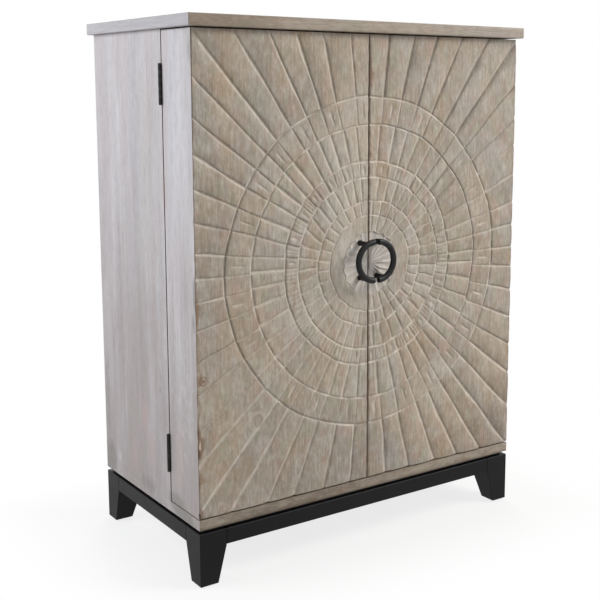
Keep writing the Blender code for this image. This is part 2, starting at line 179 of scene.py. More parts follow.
# Marks on the left side, by colour: Y and Z of the middle, half width, half height, how strong
side_marks = (
    (
        (122, 120, 116),
        (
            (0.228, 0.164, 0.040, 0.060, 1.1),
            (0.249, 0.140, 0.030, 0.040, 1.2),
            (0.240, 0.330, 0.022, 0.130, 0.6),
            (0.020, 0.160, 0.070, 0.030, 0.7),
            (-0.060, 0.400, 0.014, 0.120, 0.4),
            (0.180, 0.495, 0.035, 0.070, 0.3),
            (-0.124, 0.165, 0.060, 0.026, 1.0),
            (-0.165, 0.140, 0.060, 0.020, 1.3),
            (-0.232, 0.645, 0.010, 0.050, 1.2),
            (-0.226, 0.585, 0.012, 0.030, 0.8),
            (-0.228, 1.150, 0.010, 0.040, 0.8),
        ),
    ),
    (
        (172, 150, 148),
        (
            (0.027, 0.320, 0.028, 0.060, 0.8),
            (-0.006, 0.250, 0.022, 0.060, 0.8),
            (0.090, 0.210, 0.030, 0.060, 0.6),
            (-0.100, 0.840, 0.016, 0.090, 0.6),
            (-0.105, 0.560, 0.014, 0.070, 0.5),
            (-0.150, 0.280, 0.030, 0.110, 0.7),
        ),
    ),
    ((196, 195, 194), ((0.178, 0.180, 0.016, 0.024, 0.7), (0.130, 0.330, 0.012, 0.080, 0.4))),
    ((208, 208, 213), ((-0.172, 1.020, 0.085, 0.420, 0.55), (-0.172, 0.420, 0.085, 0.300, 0.4))),
)
# How dark the line is down the left door's outer arris: height and share
arris_lines = (
    (0.16, 0.7), (0.30, 0.5), (0.345, 0.8), (0.37, 0.15), (0.58, 0.1), (0.62, 0.6), (0.67, 0.6),
    (0.76, 0.4), (0.93, 0.5), (1.0, 0.3), (1.03, 1.0), (1.19, 1.0),
)
# Rings round knots, and small bare or pale spots: X and Z of the middle, half width, half height, how
# strong, and the colour
knots = (
    (-0.4345, 0.460, 0.011, 0.012, 0.6, (116, 84, 64)),
    (-0.3050, 0.349, 0.024, 0.026, 0.25, (198, 188, 172)),
    (-0.3020, 0.350, 0.012, 0.016, 0.4, (128, 104, 80)),
)
chips = (
    (-0.4345, 0.460, 0.004, 0.004, 0.7, (110, 78, 60)),
    (-0.4450, 0.322, 0.0026, 0.013, 0.8, (214, 202, 184)),
    (-0.4465, 0.300, 0.003, 0.014, 0.8, (90, 72, 58)),
    (-0.4475, 0.345, 0.003, 0.012, 0.6, (96, 78, 64)),
    (-0.4475, 0.164, 0.003, 0.008, 0.9, (70, 58, 50)),
)
# Broad casts of colour: X and Z of the middle, half width, half height, how strong, and the colour.
# The first two lighten the front round and left of the handle: painted light over the handle's shadow.
front_casts = (
    (-0.014, 0.672, 0.014, 0.045, 0.45, (212, 208, 192)),
    (-0.070, 0.700, 0.035, 0.060, 0.35, (206, 200, 188)),
    (0.415, 0.270, 0.050, 0.150, 0.30, (134, 118, 102)),
    (-0.250, 0.230, 0.200, 0.070, 0.16, (140, 126, 110)),
    (0.209, 1.060, 0.013, 0.130, 0.50, (164, 138, 110)),
    (0.317, 1.100, 0.035, 0.040, 0.30, (184, 182, 178)),
    (0.330, 0.830, 0.050, 0.120, 0.35, (178, 156, 136)),
    (-0.372, 0.985, 0.020, 0.160, 0.30, (172, 150, 122)),
    (-0.285, 1.020, 0.030, 0.110, 0.35, (158, 156, 148)),
    (-0.045, 0.760, 0.100, 0.420, 0.42, (204, 197, 184)),
    (0.000, 0.680, 0.120, 0.130, 0.26, (208, 202, 192)),
    (-0.385, 0.440, 0.100, 0.160, 0.22, (200, 188, 172)),
    (0.190, 0.320, 0.100, 0.140, 0.24, (202, 190, 174)),
    (-0.164, 1.080, 0.060, 0.120, 0.28, (122, 112, 98)),
    (-0.100, 0.190, 0.230, 0.080, 0.30, (128, 113, 98)),
    (0.400, 0.180, 0.060, 0.120, 0.36, (126, 108, 92)),
    (-0.420, 0.700, 0.060, 0.330, 0.34, (154, 148, 140)),
    (0.290, 1.100, 0.160, 0.110, 0.34, (168, 162, 154)),
    (0.385, 0.420, 0.090, 0.160, 0.26, (178, 154, 124)),
)
slab_casts = (
    (0.360, 1.206, 0.280, 0.200, 0.45, (163, 158, 153)),
    (-0.440, 1.206, 0.230, 0.200, 0.55, (116, 104, 88)),
    (-0.250, 1.212, 0.020, 0.012, 0.35, (160, 136, 120)),
    (-0.330, 1.200, 0.030, 0.010, 0.35, (122, 120, 108)),
    (-0.060, 1.208, 0.060, 0.016, 0.30, (150, 150, 136)),
    (0.150, 1.204, 0.040, 0.012, 0.30, (168, 146, 128)),
)
bottom_casts = (
    (-0.190, 0.143, 0.250, 0.060, 0.58, (101, 90, 77)),
    (-0.455, 0.134, 0.020, 0.008, 0.60, (112, 92, 74)),
    (-0.400, 0.142, 0.012, 0.008, 0.50, (176, 172, 156)),
    (-0.370, 0.140, 0.014, 0.010, 0.50, (120, 110, 92)),
    (-0.300, 0.136, 0.030, 0.006, 0.50, (104, 96, 80)),
    (-0.240, 0.146, 0.030, 0.008, 0.45, (166, 160, 142)),
    (-0.160, 0.136, 0.034, 0.006, 0.50, (112, 94, 78)),
    (-0.080, 0.144, 0.030, 0.008, 0.40, (160, 140, 124)),
    (0.040, 0.138, 0.040, 0.007, 0.45, (122, 112, 96)),
    (0.160, 0.146, 0.040, 0.008, 0.40, (178, 168, 152)),
    (0.300, 0.138, 0.040, 0.007, 0.45, (132, 112, 94)),
)
# Chips on a door's outer edge: height, half length, depth
edge_chips = {
    "left": ((0.430, 0.013, 0.0022), (0.314, 0.020, 0.0030), (0.350, 0.006, 0.0020), (0.166, 0.006, 0.0036)),
    "right": ((0.905, 0.010, 0.0018), (0.240, 0.014, 0.0022)),
}

# Rays: the least and most of their chance strength, and of how full of wash they are; how much more they
# widen per metre outside the rings; and on the left door the radius about which one set leans
ray_strength = (0.82, 1.15)
ray_fullness = (0.7, 1.1)
ray_widening = 2.2
lean_about = 0.172
# Kinks of a ring at the outer rays, and the radius at which they are that large
kink_size = 0.0014
kink_radius = 0.36
# Half width and depth of the light cuts in the narrow band next to the rosette, on the right door
fan_cut = (0.0032, 0.0017)
# Pairs of light strokes in cells without a gouge: half way between them, half width and depth
stroke_gap = 0.0036
stroke_cut = (0.0022, 0.0006)
# Where the long ray to the upper left corner ends: radius, and bearing in degrees
long_ray_end = (0.650, 41.4)
# Wear towards the cuts: how low it gets, within what length, and how far a cell tilts
swell_height = 0.0008
swell_length = 0.010
cell_tilt = 0.0008
# Gouge marks in two of the bands, by the band's number: half length, and one half width and depth
gouge_lengths = {1: 0.0215, 3: 0.0115}
gouge_half_width = 0.0040
gouge_depth = 0.0024
# Rosette: flutes on each half, and how deep they are
rosette_flutes = 10
flute_depths = {"left": 0.0015, "right": 0.0026}
# Seeds of the random strengths and tones, and of the unsteady hand, on each door
carving_seeds = {"left": 11, "right": 23}
panel_seeds = {"left": 4, "right": 3}
# More cells than any band has
most_cells = 64

# Length over which a front's grid is pushed onto the meeting edge, and fades at its rim
push_length = 0.030
rim_fade = 0.030
# Worn arris of a front: mean depth, how unsteady it is, least depth, and how far in it reaches
arris_wear = 0.0006
arris_waver = 0.0003
least_wear = 0.0002
wear_reach = 0.0022
# Rounded edge of the right door's front at the seam: depth, and how far in it reaches
seam_wear = 0.0024
seam_reach = 0.0046

# Grid of the carved fronts: stations across a sector, from its ray and from its middle line, then those
# across a ring and at the panel's rim, and the number of rows from ring to ring and out to the rim
from_ray = np.array([0, 0.9, 1.9, 3.0, 4.6, 7.5]) * millimetre
from_middle = np.array([4.2, 2.1, 0]) * millimetre
ring_offsets = np.array([-6.0, -4.2, -3.0, -1.9, -0.9, 0, 0.9, 1.9, 3.0, 4.2, 6.0]) * millimetre
rim_offsets = np.array([3.4, 2.0, 1.0, 0.4, 0]) * millimetre
band_steps = (15, 12, 12, 11, 6, 7, 20)
outer_steps = 18
# Radius of the innermost row, and how many rounds it takes to find where each column meets the rim
smallest_radius = 0.0006
rim_rounds = 8

# Hinge axes, and the faces of the hinge leaves towards each other
hinge_x = 0.4540
hinge_y = -0.1010
frame_leaf_face = -0.10085
door_leaf_face = -0.10115
# Hinge screws: share of the leaf's height, and how far in from its outer end
hinge_screw_places = ((0.14, 0.0150), (0.5, 0.0135), (0.86, 0.0150))
# Screw heads: radius, and how far they stand proud
hinge_screw_size = (0.0026, 0.00008)
back_screw_size = (0.0042, 0.0003)
screw_sides = 40
# Profile of a dome on a hinge pin: level over the pin's end, and radius
dome_profile = (
    (-0.0004, 0), (-0.0004, 0.0034), (0.0002, 0.0034), (0.0009, 0.0029), (0.0014, 0.0020), (0.0016, 0),
)

# Ring handle; it reaches a little further out than its node, and sits a little higher
bar_radius = 0.0070
bar_end_round = 0.0016
ring_growth = 0.0014
ring_lift = 0.0035
post_radius = 0.0058
post_angle = 65
collar_radius = 0.0070

# Boards: the longest step between points, and the widths of staves
board_step = 0.05
stave_width = 0.11
front_stave_width = 0.098


def linear(colour):
    """Red, green and blue read from a screen, 0 to 255, as linear light with full alpha."""
    return tuple(((value / 255 + 0.055) / 1.055) ** 2.4 for value in colour) + (1.0,)


def place_camera():
    """Right, up and forward vectors from yaw and pitch, then right and up turned by the roll."""
    forward = np.array(
        [
            math.sin(camera_yaw) * math.cos(camera_pitch),
            math.cos(camera_yaw) * math.cos(camera_pitch),
            -math.sin(camera_pitch),
        ]
    )
    level = np.array([math.cos(camera_yaw), -math.sin(camera_yaw), 0])
    above = np.cross(level, forward)
    right = math.cos(camera_roll) * level + math.sin(camera_roll) * above
    up = math.cos(camera_roll) * above - math.sin(camera_roll) * level
    data = bpy.data.cameras.new("camera")
    data.sensor_width = sensor_width_mm
    data.lens = focal_length_px / image_side_px * sensor_width_mm
    data.shift_x = 0.5 - optical_centre_px[0] / image_side_px
    data.shift_y = optical_centre_px[1] / image_side_px - 0.5
    camera = bpy.data.objects.new("camera", data)
    camera.matrix_world = Matrix(
        [(*row, place) for row, place in zip(np.stack([right, up, -forward], axis=1), camera_place)]
        + [(0, 0, 0, 1)]
    )
    scene.collection.objects.link(camera)
    scene.camera = camera


def add_lamp(name, place, target, size, watts, colour):
    """A square soft box that faces its target."""
    data = bpy.data.lights.new(name, "AREA")
    data.shape = "SQUARE"
    data.size = size
    data.energy = watts
    data.color = colour
    lamp = bpy.data.objects.new(name, data)
    direction = np.array(target, float) - np.array(place, float)
    across = np.cross(direction, (0, 0, 1))
    across /= np.linalg.norm(across)
    back = -direction / np.linalg.norm(direction)
    turned = np.stack([across, np.cross(back, across), back], axis=1)
    lamp.matrix_world = Matrix([(*row, at) for row, at in zip(turned, place)] + [(0, 0, 0, 1)])
    scene.collection.objects.link(lamp)


class Value:
    """A number that varies over a surface. Each operator adds one Math node."""

    def __init__(self, finish, socket):
        self.finish = finish
        self.socket = socket

    def math(self, operation, *operands):
        return self.finish.node("ShaderNodeMath", {"operation": operation}, dict(enumerate(operands)))

    def __add__(self, other):
        return self.math("ADD", self, other)

    __radd__ = __add__

    def __sub__(self, other):
        return self.math("SUBTRACT", self, other)

    def __rsub__(self, other):
        return self.math("SUBTRACT", other, self)

    def __mul__(self, other):
        return self.math("MULTIPLY", self, other)

    __rmul__ = __mul__

    def __truediv__(self, other):
        return self.math("DIVIDE", self, other)

    def __pow__(self, other):
        return self.math("POWER", self, other)

    def __abs__(self):
        return self.math("ABSOLUTE", self)

    def floor(self):
        return self.math("FLOOR", self)

    def at_least(self, other):
        return self.math("MAXIMUM", self, other)

    def between(self, low, high):
        """0 below low, 1 above high, and a smooth step from one to the other."""
        settings = {"interpolation_type": "SMOOTHSTEP"}
        return self.finish.node("ShaderNodeMapRange", settings, {0: self, 1: low, 2: high})


class Nodes:
    """The shader nodes of a material or of the world."""

    def __init__(self, tree):
        self.tree = tree

    def node(self, kind, settings, values, output=0):
        """Add a node: its settings first, then a value or a link for each named or numbered socket."""
        node = self.tree.nodes.new(kind)
        for name, setting in settings.items():
            setattr(node, name, setting)
        for key, value in values.items():
            if isinstance(value, Value):
                self.tree.links.new(value.socket, node.inputs[key])
            else:
                node.inputs[key].default_value = value
        return Value(self, node.outputs[output])

    def background_seen(self):
        """1 for a ray from the camera, off a glossy surface or through glass, and 0 for the rest."""
        kinds = ("Is Camera Ray", "Is Glossy Ray", "Is Transmission Ray")
        camera, glossy, through = [self.node("ShaderNodeLightPath", {}, {}, kind) for kind in kinds]
        return camera.at_least(glossy).at_least(through)


class Finish(Nodes):
    """A material in the making: its Principled shader, and the nodes that feed it."""

    def __init__(self, name, roughness=0.6, metallic=0.0):
        self.material = bpy.data.materials.new(name)
        self.material.use_nodes = True
        super().__init__(self.material.node_tree)
        self.shader = self.tree.nodes["Principled BSDF"]
        self.shader.inputs["Roughness"].default_value = roughness
        self.shader.inputs["Metallic"].default_value = metallic
        self.place = self.node("ShaderNodeTexCoord", {}, {}, "Object")
        self.normal = self.node("ShaderNodeTexCoord", {}, {}, "Normal")
        self.x, self.y, self.z = self.parts(self.place)

    def parts(self, vector):
        """The three numbers of a vector."""
        node = self.tree.nodes.new("ShaderNodeSeparateXYZ")
        self.tree.links.new(vector.socket, node.inputs[0])
        return [Value(self, socket) for socket in node.outputs]

    def noise(self, per_metre, detail=3.0, rough=0.55, shift=(0, 0, 0), distort=0.0):
        """Soft noise from 0 to 1, with so many pattern lengths per metre along each axis, and shifted."""
        scaled = self.node("ShaderNodeVectorMath", {"operation": "MULTIPLY"}, {0: self.place, 1: per_metre})
        moved = self.node("ShaderNodeVectorMath", {"operation": "ADD"}, {0: scaled, 1: shift})
        values = {"Vector": moved, "Scale": 1.0, "Detail": detail, "Roughness": rough, "Distortion": distort}
        return self.node("ShaderNodeTexNoise", {}, values)

    def start(self, amount, first, second):
        """Begin the base colour with a first one, and a second over it by an amount from 0 to 1."""
        self.base = linear(first)
        self.lay(amount, second)

    def lay(self, amount, colour):
        """Lay a colour over the base colour by an amount from 0 to 1."""
        values = {0: amount, 6: self.base, 7: linear(colour)}
        self.base = self.node("ShaderNodeMix", {"data_type": "RGBA", "blend_type": "MIX"}, values, 2)

    def cast(self, spots):
        """Lay colours softly over places on the front."""
        for *spot, strong, colour in spots:
            self.lay((1 - self.from_spot(self.x, spot)).between(0, 1) * strong, colour)

    def from_spot(self, across, spot):
        """The square of the distance from the middle of an oval spot, which is 1 on its rim."""
        middle, height, half_width, half_height = spot
        return ((across - middle) / half_width) ** 2 + ((self.z - height) / half_height) ** 2

    def feed(self, rough, height=None):
        """Link the base colour, a roughness and a height in metres to the shader."""
        sockets = {"Base Color": self.base, "Roughness": rough}
        if height is not None:
            values = {"Height": height, "Distance": 1.0, "Strength": 1.0}
            sockets["Normal"] = self.node("ShaderNodeBump", {}, values)
        for name, value in sockets.items():
            self.tree.links.new(value.socket, self.shader.inputs[name])
        return self.material


def grained(axis, along, across):
    """Pattern lengths per metre with the fibres running along one axis."""
    return tuple(along if index == axis else across for index in range(3))


def washed_wood(
    name, grain_axis, light, dark, streak, stave_axis=0, tints=(), low_darkening=0.0, end_grain=None, marks=(),
    darkened_to=None, casts=(), threaded=1.2, blotched=1.0,
):
    """Sawn boards under a thin wash: staves of unlike tone, clouds, streaks, fibres and open pores.

    light and dark are the wash where it lies thick and thin, and streak is the wood that shows through.
    tints are colours that lie over it here and there, low_darkening is how much darker and greyer it
    gets towards the floor, marks are spots on the left side, and casts lie on the front. end_grain is
    the colour of the ends of boards that lie along X, darkened_to is how far up a board's lower edge
    is darker, threaded is how strongly long thin streaks show, and blotched the same for short light
    and dark spots.
    """
    finish = Finish(name)
    shift = (3.1 + grain_axis, 7.7, 1.3)
    clouds = finish.noise(grained(grain_axis, 1.6, 6.0), 3.0, 0.6, shift).between(0.3, 0.7)
    bands = finish.noise(grained(grain_axis, 1.4, 34.0), 4.0, 0.6, shift).between(0.32, 0.7)
    threads = finish.noise(grained(grain_axis, 5.0, 150.0), 3.0, 0.65, shift)
    fibres = finish.noise(grained(grain_axis, 11.0, 520.0), 2.0, 0.6, shift)
    pores = finish.noise(grained(grain_axis, 30.0, 850.0), 1.0, 0.5, shift).between(0.60, 0.74)
    across = (finish.x, finish.y, finish.z)[stave_axis]
    stave = (across / stave_width + 0.37).floor()
    tone = finish.node("ShaderNodeTexWhiteNoise", {"noise_dimensions": "1D"}, {"W": stave})
    finish.start(clouds * 0.6 + bands * 0.35 + (tone - 0.5) * 0.4, light, dark)
    for number, (tint, share) in enumerate(tints):
        shift_on = (4.3 * number + 0.7, 2.9, 6.1 + number)
        patch = finish.noise(grained(grain_axis, 1.8, 15.0), 3.0, 0.6, shift_on)
        finish.lay(patch.between(0.46, 0.70) * share, tint)
    finish.cast(casts)
    worn = finish.noise(grained(grain_axis, 2.2, 14.0), 4.0, 0.65, (9.1, 2.2, 4.5)).between(0.5, 0.78)
    finish.lay(worn * 0.3, streak)
    if low_darkening:
        low = (0.86 - finish.z) * 1.25 + (clouds - 0.5) * 0.5 + (bands - 0.5) * 0.35
        finish.lay(low.between(0, 1) * low_darkening, (145, 136, 132))
    finish.lay((threads - 0.5) * threaded + 0.1, streak)
    finish.lay((fibres - 0.5) * 0.7 + 0.1, streak)
    mottle = finish.noise(grained(grain_axis, 34.0, 80.0), 4.0, 0.7, (3.0, 8.0, 5.0))
    finish.lay((mottle - 0.5) * blotched, streak)
    if blotched > 1:
        specks = finish.noise(grained(grain_axis, 90.0, 150.0), 3.0, 0.7, (5.0, 1.0, 7.0))
        finish.lay((0.5 - mottle) * (blotched - 1), light)
        finish.lay((specks - 0.5) * (blotched - 1), streak)
        finish.lay((0.5 - specks) * (blotched - 1), light)
    dark_streak = tuple(value * 0.72 for value in streak)
    finish.lay(pores * 0.35, dark_streak)
    for colour, spots in marks:
        marked = (mottle - 0.5) * 1.4
        for *spot, dark in spots:
            marked = marked + (1 - finish.from_spot(finish.y, spot)).at_least(0) * dark
        on_left = (0 - finish.x).between(0.430, 0.445)
        finish.lay(marked.between(0.15, 1.0) * on_left * 0.7, colour)
    if darkened_to:
        low = (darkened_to - finish.z + (threads - 0.5) * 0.003).between(0, 0.006)
        finish.lay(low * 0.6, [value * 0.8 for value in streak])
    if end_grain:
        facing = finish.parts(finish.normal)
        under = (0 - facing[2]).between(0.5, 0.9) * abs(finish.x).between(0.449, 0.451)
        end = abs(facing[0]).between(0.55, 0.9).at_least(under)
        rings = finish.noise((1.0, 14.0, 170.0), 4.0, 0.6, (0.2, 5.1, 2.2), 0.4)
        finish.lay(end * 0.9, end_grain)
        finish.lay(end * (rings - 0.42) * 1.6, [value * 0.76 for value in end_grain])
    height = (threads * 0.12 + fibres * 0.10 - pores * 0.12 + bands * 0.08) * millimetre
    rough = 0.56 + fibres * 0.16 + worn * 0.06
    return finish.feed(rough, height)


def carved_finish():
    """The doors' fronts: brushed upright grain, whitewash left in the cuts, and a paler rosette, with
    painted highlight and shade on the walls of the cuts and on the rosette's flutes.
    """
    finish = Finish("carved_wood_finish")
    finish.shader.inputs["Specular IOR Level"].default_value = 0.35
    names = ("wash", "soil_and_shade", "rosette", "tone", "tint", "edge", "dark_arris_and_seam_shade")
    masks = [finish.node("ShaderNodeAttribute", {"attribute_name": name}, {}, "Fac") for name in names]
    wash, soil_and_shade, rosette, tone, tint, edge, dark_arris_and_seam_shade = masks
    clouds = finish.noise((5.0, 5.0, 2.2), 3.0, 0.6, (1.7, 0.4, 5.2)).between(0.32, 0.7)
    brown = finish.noise((15.0, 15.0, 6.0), 4.0, 0.65, (8.3, 1.9, 2.4)).between(0.50, 0.74)
    smoke = finish.noise((10.0, 10.0, 7.0), 4.0, 0.65, (5.3, 2.9, 7.4)).between(0.55, 0.8)
    haze = finish.noise((22.0, 22.0, 14.0), 4.0, 0.65, (2.3, 6.9, 1.4)).between(0.50, 0.76)
    olive = finish.noise((26.0, 26.0, 16.0), 4.0, 0.65, (7.3, 0.9, 3.4)).between(0.50, 0.72)
    rosy = finish.noise((40.0, 40.0, 26.0), 3.0, 0.6, (1.3, 7.9, 6.4)).between(0.52, 0.68)
    green = finish.noise((36.0, 36.0, 26.0), 3.0, 0.6, (6.3, 4.9, 0.4)).between(0.52, 0.68)
    warm = finish.noise((9.0, 9.0, 5.0), 4.0, 0.65, (0.3, 4.9, 8.4)).between(0.44, 0.64)
    cool = finish.noise((8.0, 8.0, 5.0), 4.0, 0.65, (3.7, 5.5, 0.6)).between(0.48, 0.68)
    bands = finish.noise((55.0, 55.0, 3.4), 4.0, 0.6, (2.0, 3.0, 4.0)).between(0.3, 0.7)
    threads = finish.noise((200.0, 200.0, 12.0), 3.0, 0.65, (6.0, 3.0, 1.0))
    fibres = finish.noise((520.0, 520.0, 15.0), 2.0, 0.6)
    pores = finish.noise((800.0, 800.0, 40.0), 1.0, 0.5).between(0.58, 0.72)
    flecks = finish.noise((48.0, 48.0, 30.0), 4.0, 0.7, (6.0, 2.0, 8.0))
    mottle = finish.noise((135.0, 135.0, 52.0), 4.0, 0.76, (3.0, 8.0, 5.0))
    patchy = finish.noise((60.0, 60.0, 30.0), 3.0, 0.6, (4.0, 1.0, 2.0)).between(0.25, 0.6)
    from_centre = ((finish.x - carving_x) ** 2 + (finish.z - carving_z) ** 2) ** 0.5
    stave = (finish.x / front_stave_width + 0.41).floor()
    board = finish.node("ShaderNodeTexWhiteNoise", {"noise_dimensions": "1D"}, {"W": stave})
    blend = clouds * 0.35 + bands * 0.14 + (board - 0.5) * 0.3 + (tone - 0.5) * 0.7 + 0.05
    finish.start(blend, (176, 168, 156), (142, 132, 118))
    browned = (brown * 0.55 + tone * 0.6).between(0.45, 0.95)
    finish.lay(browned * 0.45, (160, 135, 111))
    finish.lay((tint * 0.6 + haze * 0.6).between(0.45, 1.0) * 0.42, (176, 165, 164))
    finish.lay(((1 - tint) * 0.5 + olive * 0.6).between(0.5, 1.0) * 0.42, (157, 150, 129))
    finish.lay(from_centre.between(0.37, 0.41) * 0.28, (132, 119, 103))
    finish.lay(warm * 0.48, (169, 143, 112))
    finish.lay(cool * 0.54, (155, 152, 150))
    finish.lay(rosy * 0.60, (172, 147, 136))
    finish.lay(green * 0.60, (151, 152, 133))
    finish.cast(front_casts)
    finish.lay(smoke * 0.4, (126, 118, 107))
    finish.lay(haze * 0.4, (188, 183, 178))
    finish.lay((threads - 0.47) * 1.15, (116, 101, 85))
    finish.lay((0.48 - threads) * 1.05, (203, 197, 190))
    finish.lay((fibres - 0.5) * 0.8 + 0.06, (104, 91, 76))
    finish.lay(pores * 0.25, (88, 75, 62))
    finish.lay((flecks - 0.5) * 1.2, (122, 109, 94))
    finish.lay((0.47 - flecks) * 1.1, (202, 197, 189))
    finish.lay((mottle - 0.5) * 1.35, (110, 96, 81))
    finish.lay((0.49 - mottle) * 1.35, (209, 204, 198))
    ragged = (mottle - 0.5) * 0.5
    # Dark in and beside the cuts: painted shade on walls away from the light and in listed stretches
    darkened = (soil_and_shade + ragged * soil_and_shade).between(0.12, 0.8)
    finish.lay(darkened * (0.24 + patchy * 0.36), (92, 80, 68))
    thin = finish.noise((24.0, 24.0, 24.0), 3.0, 0.6, (1.0, 5.0, 9.0)).between(0.35, 0.65)
    # Pale in the cuts: wash, with a painted highlight on walls facing the light
    held_and_highlight = (wash - ragged * wash).between(0.12, 0.9) * (0.12 + patchy * 0.36 + thin * 0.20)
    held_and_highlight = held_and_highlight + (mottle - 0.5) * wash * 0.4
    finish.lay(held_and_highlight, (220, 213, 202))
    # Paler rosette, with painted highlight on the flutes' ridges
    finish.lay(rosette * (0.42 + patchy * 0.4), (214, 210, 209))
    stained = edge * 0.9 + (brown - 0.5) * 0.5
    for *spot, dark in stains:
        stained = stained + (1 - finish.from_spot(finish.x, spot)).at_least(0) * dark
    stained = (stained + (mottle - 0.5) * 1.7).between(0.40, 1.0)
    finish.lay(stained * 0.7, (126, 98, 75))
    for *spot, strong, colour in knots:
        away = finish.from_spot(finish.x, spot) ** 0.5
        line = 1 - abs(away + (flecks - 0.5) * 0.5 - 0.8) / 0.25
        finish.lay(line.between(0, 1) * strong, colour)
    for *spot, strong, colour in chips:
        left = 1 - finish.from_spot(finish.x, spot) + (mottle - 0.5) * 2.5
        finish.lay(left.between(0, 0.7) * strong, colour)
    finish.lay(dark_arris_and_seam_shade * (0.8 + (threads - 0.5) * 0.8), (72, 64, 57))
    height = (threads * 0.20 + fibres * 0.16 - pores * 0.12 + mottle * 0.46 + flecks * 0.28) * millimetre
    rough = 0.62 + fibres * 0.14
    return finish.feed(rough, height)


def black_stain():
    """Black stained base: open grain that stays a little darker, and faint rubbing."""
    finish = Finish("black_base_finish", 0.45)
    finish.shader.inputs["Specular IOR Level"].default_value = 0.16
    fibres = finish.noise((240.0, 240.0, 60.0), 3.0, 0.6)
    rub = finish.noise((9.0, 9.0, 9.0), 4.0, 0.65).between(0.45, 0.8)
    finish.start(fibres, (9, 9, 11), (16, 16, 19))
    finish.lay(rub * 0.3, (33, 33, 37))
    rough = 0.42 + fibres * 0.12 + rub * 0.08
    return finish.feed(rough, fibres * 0.12 * millimetre)


def blackened_metal(name, colour, rubbed_and_highlight):
    """Powder coated steel: fine orange peel, and a little dull metal showing through from rubbing; on
    the hinges these pale patches are also painted highlights on the knuckles.
    """
    finish = Finish(name, 0.45)
    finish.shader.inputs["Specular IOR Level"].default_value = 0.28
    peel = finish.noise((900.0, 900.0, 900.0), 2.0, 0.5)
    rub = finish.noise((90.0, 90.0, 90.0), 3.0, 0.6).between(0.55, 0.8)
    finish.start(rub * 0.6, colour, rubbed_and_highlight)
    rough = 0.40 + peel * 0.12 - rub * 0.05
    return finish.feed(rough, peel * 0.05 * millimetre)


def plain_finish(name, colour, roughness, metallic=0.0):
    """Small parts: one colour with a light cloud in it."""
    finish = Finish(name, roughness, metallic)
    cloud = finish.noise((120.0, 120.0, 120.0), 3.0, 0.6)
    shade = tuple(value * 0.8 for value in colour)
    finish.start(cloud, colour, shade)
    return finish.feed(roughness - 0.06 + cloud * 0.12)


def add_mesh(name, points, blocks, soft_angle=50.0, attributes=None):
    """An object at the origin from world points, smooth but for edges sharper than an angle.

    blocks are pairs of a material and an array of the faces that take it.
    """
    mesh = bpy.data.meshes.new(name)
    mesh.from_pydata(points.tolist(), [], [face for _, faces in blocks for face in faces.tolist()])
    for key, values in (attributes or {}).items():
        attribute = mesh.attributes.new(key, "FLOAT", "POINT")
        attribute.data.foreach_set("value", values.astype(np.float32))
    mesh.shade_smooth()
    mesh.set_sharp_from_angle(angle=math.radians(soft_angle))
    materials = list(dict.fromkeys(material for material, _ in blocks))
    for material in materials:
        mesh.materials.append(material)
    slots = [np.full(len(faces), materials.index(material)) for material, faces in blocks]
    mesh.polygons.foreach_set("material_index", np.concatenate(slots))
    obj = bpy.data.objects.new(name, mesh)
    scene.collection.objects.link(obj)
    return obj


def grid_faces(rows, columns, first=0, wrap=False):
    """Quads between neighbours of a grid stored row by row; wrap joins its last column to its first."""
    row, column = np.meshgrid(np.arange(rows - 1), np.arange(columns if wrap else columns - 1), indexing="ij")
    here = row * columns + column
    beside = row * columns + (column + 1) % columns
    corners = (here, beside, beside + columns, here + columns)
    return np.stack(corners, axis=-1).reshape(-1, 4) + first


def groove(distance, half_width):
    """Share of the depth in a cut with a narrow flat bed, sloping walls and soft shoulders.

    It is s to the power 1.25, where s falls evenly from 1 at a quarter of the half width to 0 at the
    half width.
    """
    share = (half_width - np.abs(distance)) / (0.75 * half_width)
    return np.clip(share, 0, 1) ** 1.25


def run_together(first, second):
    """Two cuts in one, a little deeper where they meet: the cube root of the sum of their cubes."""
    return np.cbrt(first**3 + second**3)


def scoop(across, along, half_width, half_length):
    """Share of the depth in a gouge mark: 1 - (across / width)^2 - (along / length)^2, to the power 0.7."""
    return np.clip(1 - (across / half_width) ** 2 - (along / half_length) ** 2, 0, 1) ** 0.7


def smooth_step(value, low, high):
    """0 below low, 1 above high, and 3 s^2 - 2 s^3 between, where s is the share of the way."""
    share = np.clip((value - low) / (high - low), 0, 1)
    return share * share * (3 - 2 * share)


def bell(away, width):
    """1 in the middle, and e to the power -(away / width)^2 beside it."""
    return np.exp(-((away / width) ** 2))


def near_edge(gap, reach):
    """1 at an edge, and falling evenly to 0 at some reach from it."""
    return np.clip(1 - gap / reach, 0, 1)


def wander(bearing, radius, seed, size, waves):
    """A carver's unsteady hand: a sum of products of two sines, of bearing and radius, about size each way.

    waves are pairs of a number of turns about the centre and a wave length along the radius.
    """
    random = np.random.default_rng(seed)
    total = np.zeros_like(radius)
    for turns, length in waves:
        phase = random.uniform(0, 2 * math.pi, 2)
        total += np.sin(turns * bearing + phase[0]) * np.sin(2 * math.pi * radius / length + phase[1])
    return size * total / math.sqrt(len(waves) / 4)


def nearest_ray(bearing, rays):
    """Angle from the nearest of the rays, and which one it is."""
    gaps = bearing[..., None] - rays
    index = np.abs(gaps).argmin(axis=-1)
    return np.take_along_axis(gaps, index[..., None], axis=-1)[..., 0], index


def stretch(degrees, low, high, soft):
    """1 between two bearings, and a smooth step down to 0 over some degrees on either side."""
    return smooth_step(degrees, low - soft, low) * smooth_step(-degrees, -high - soft, -high)


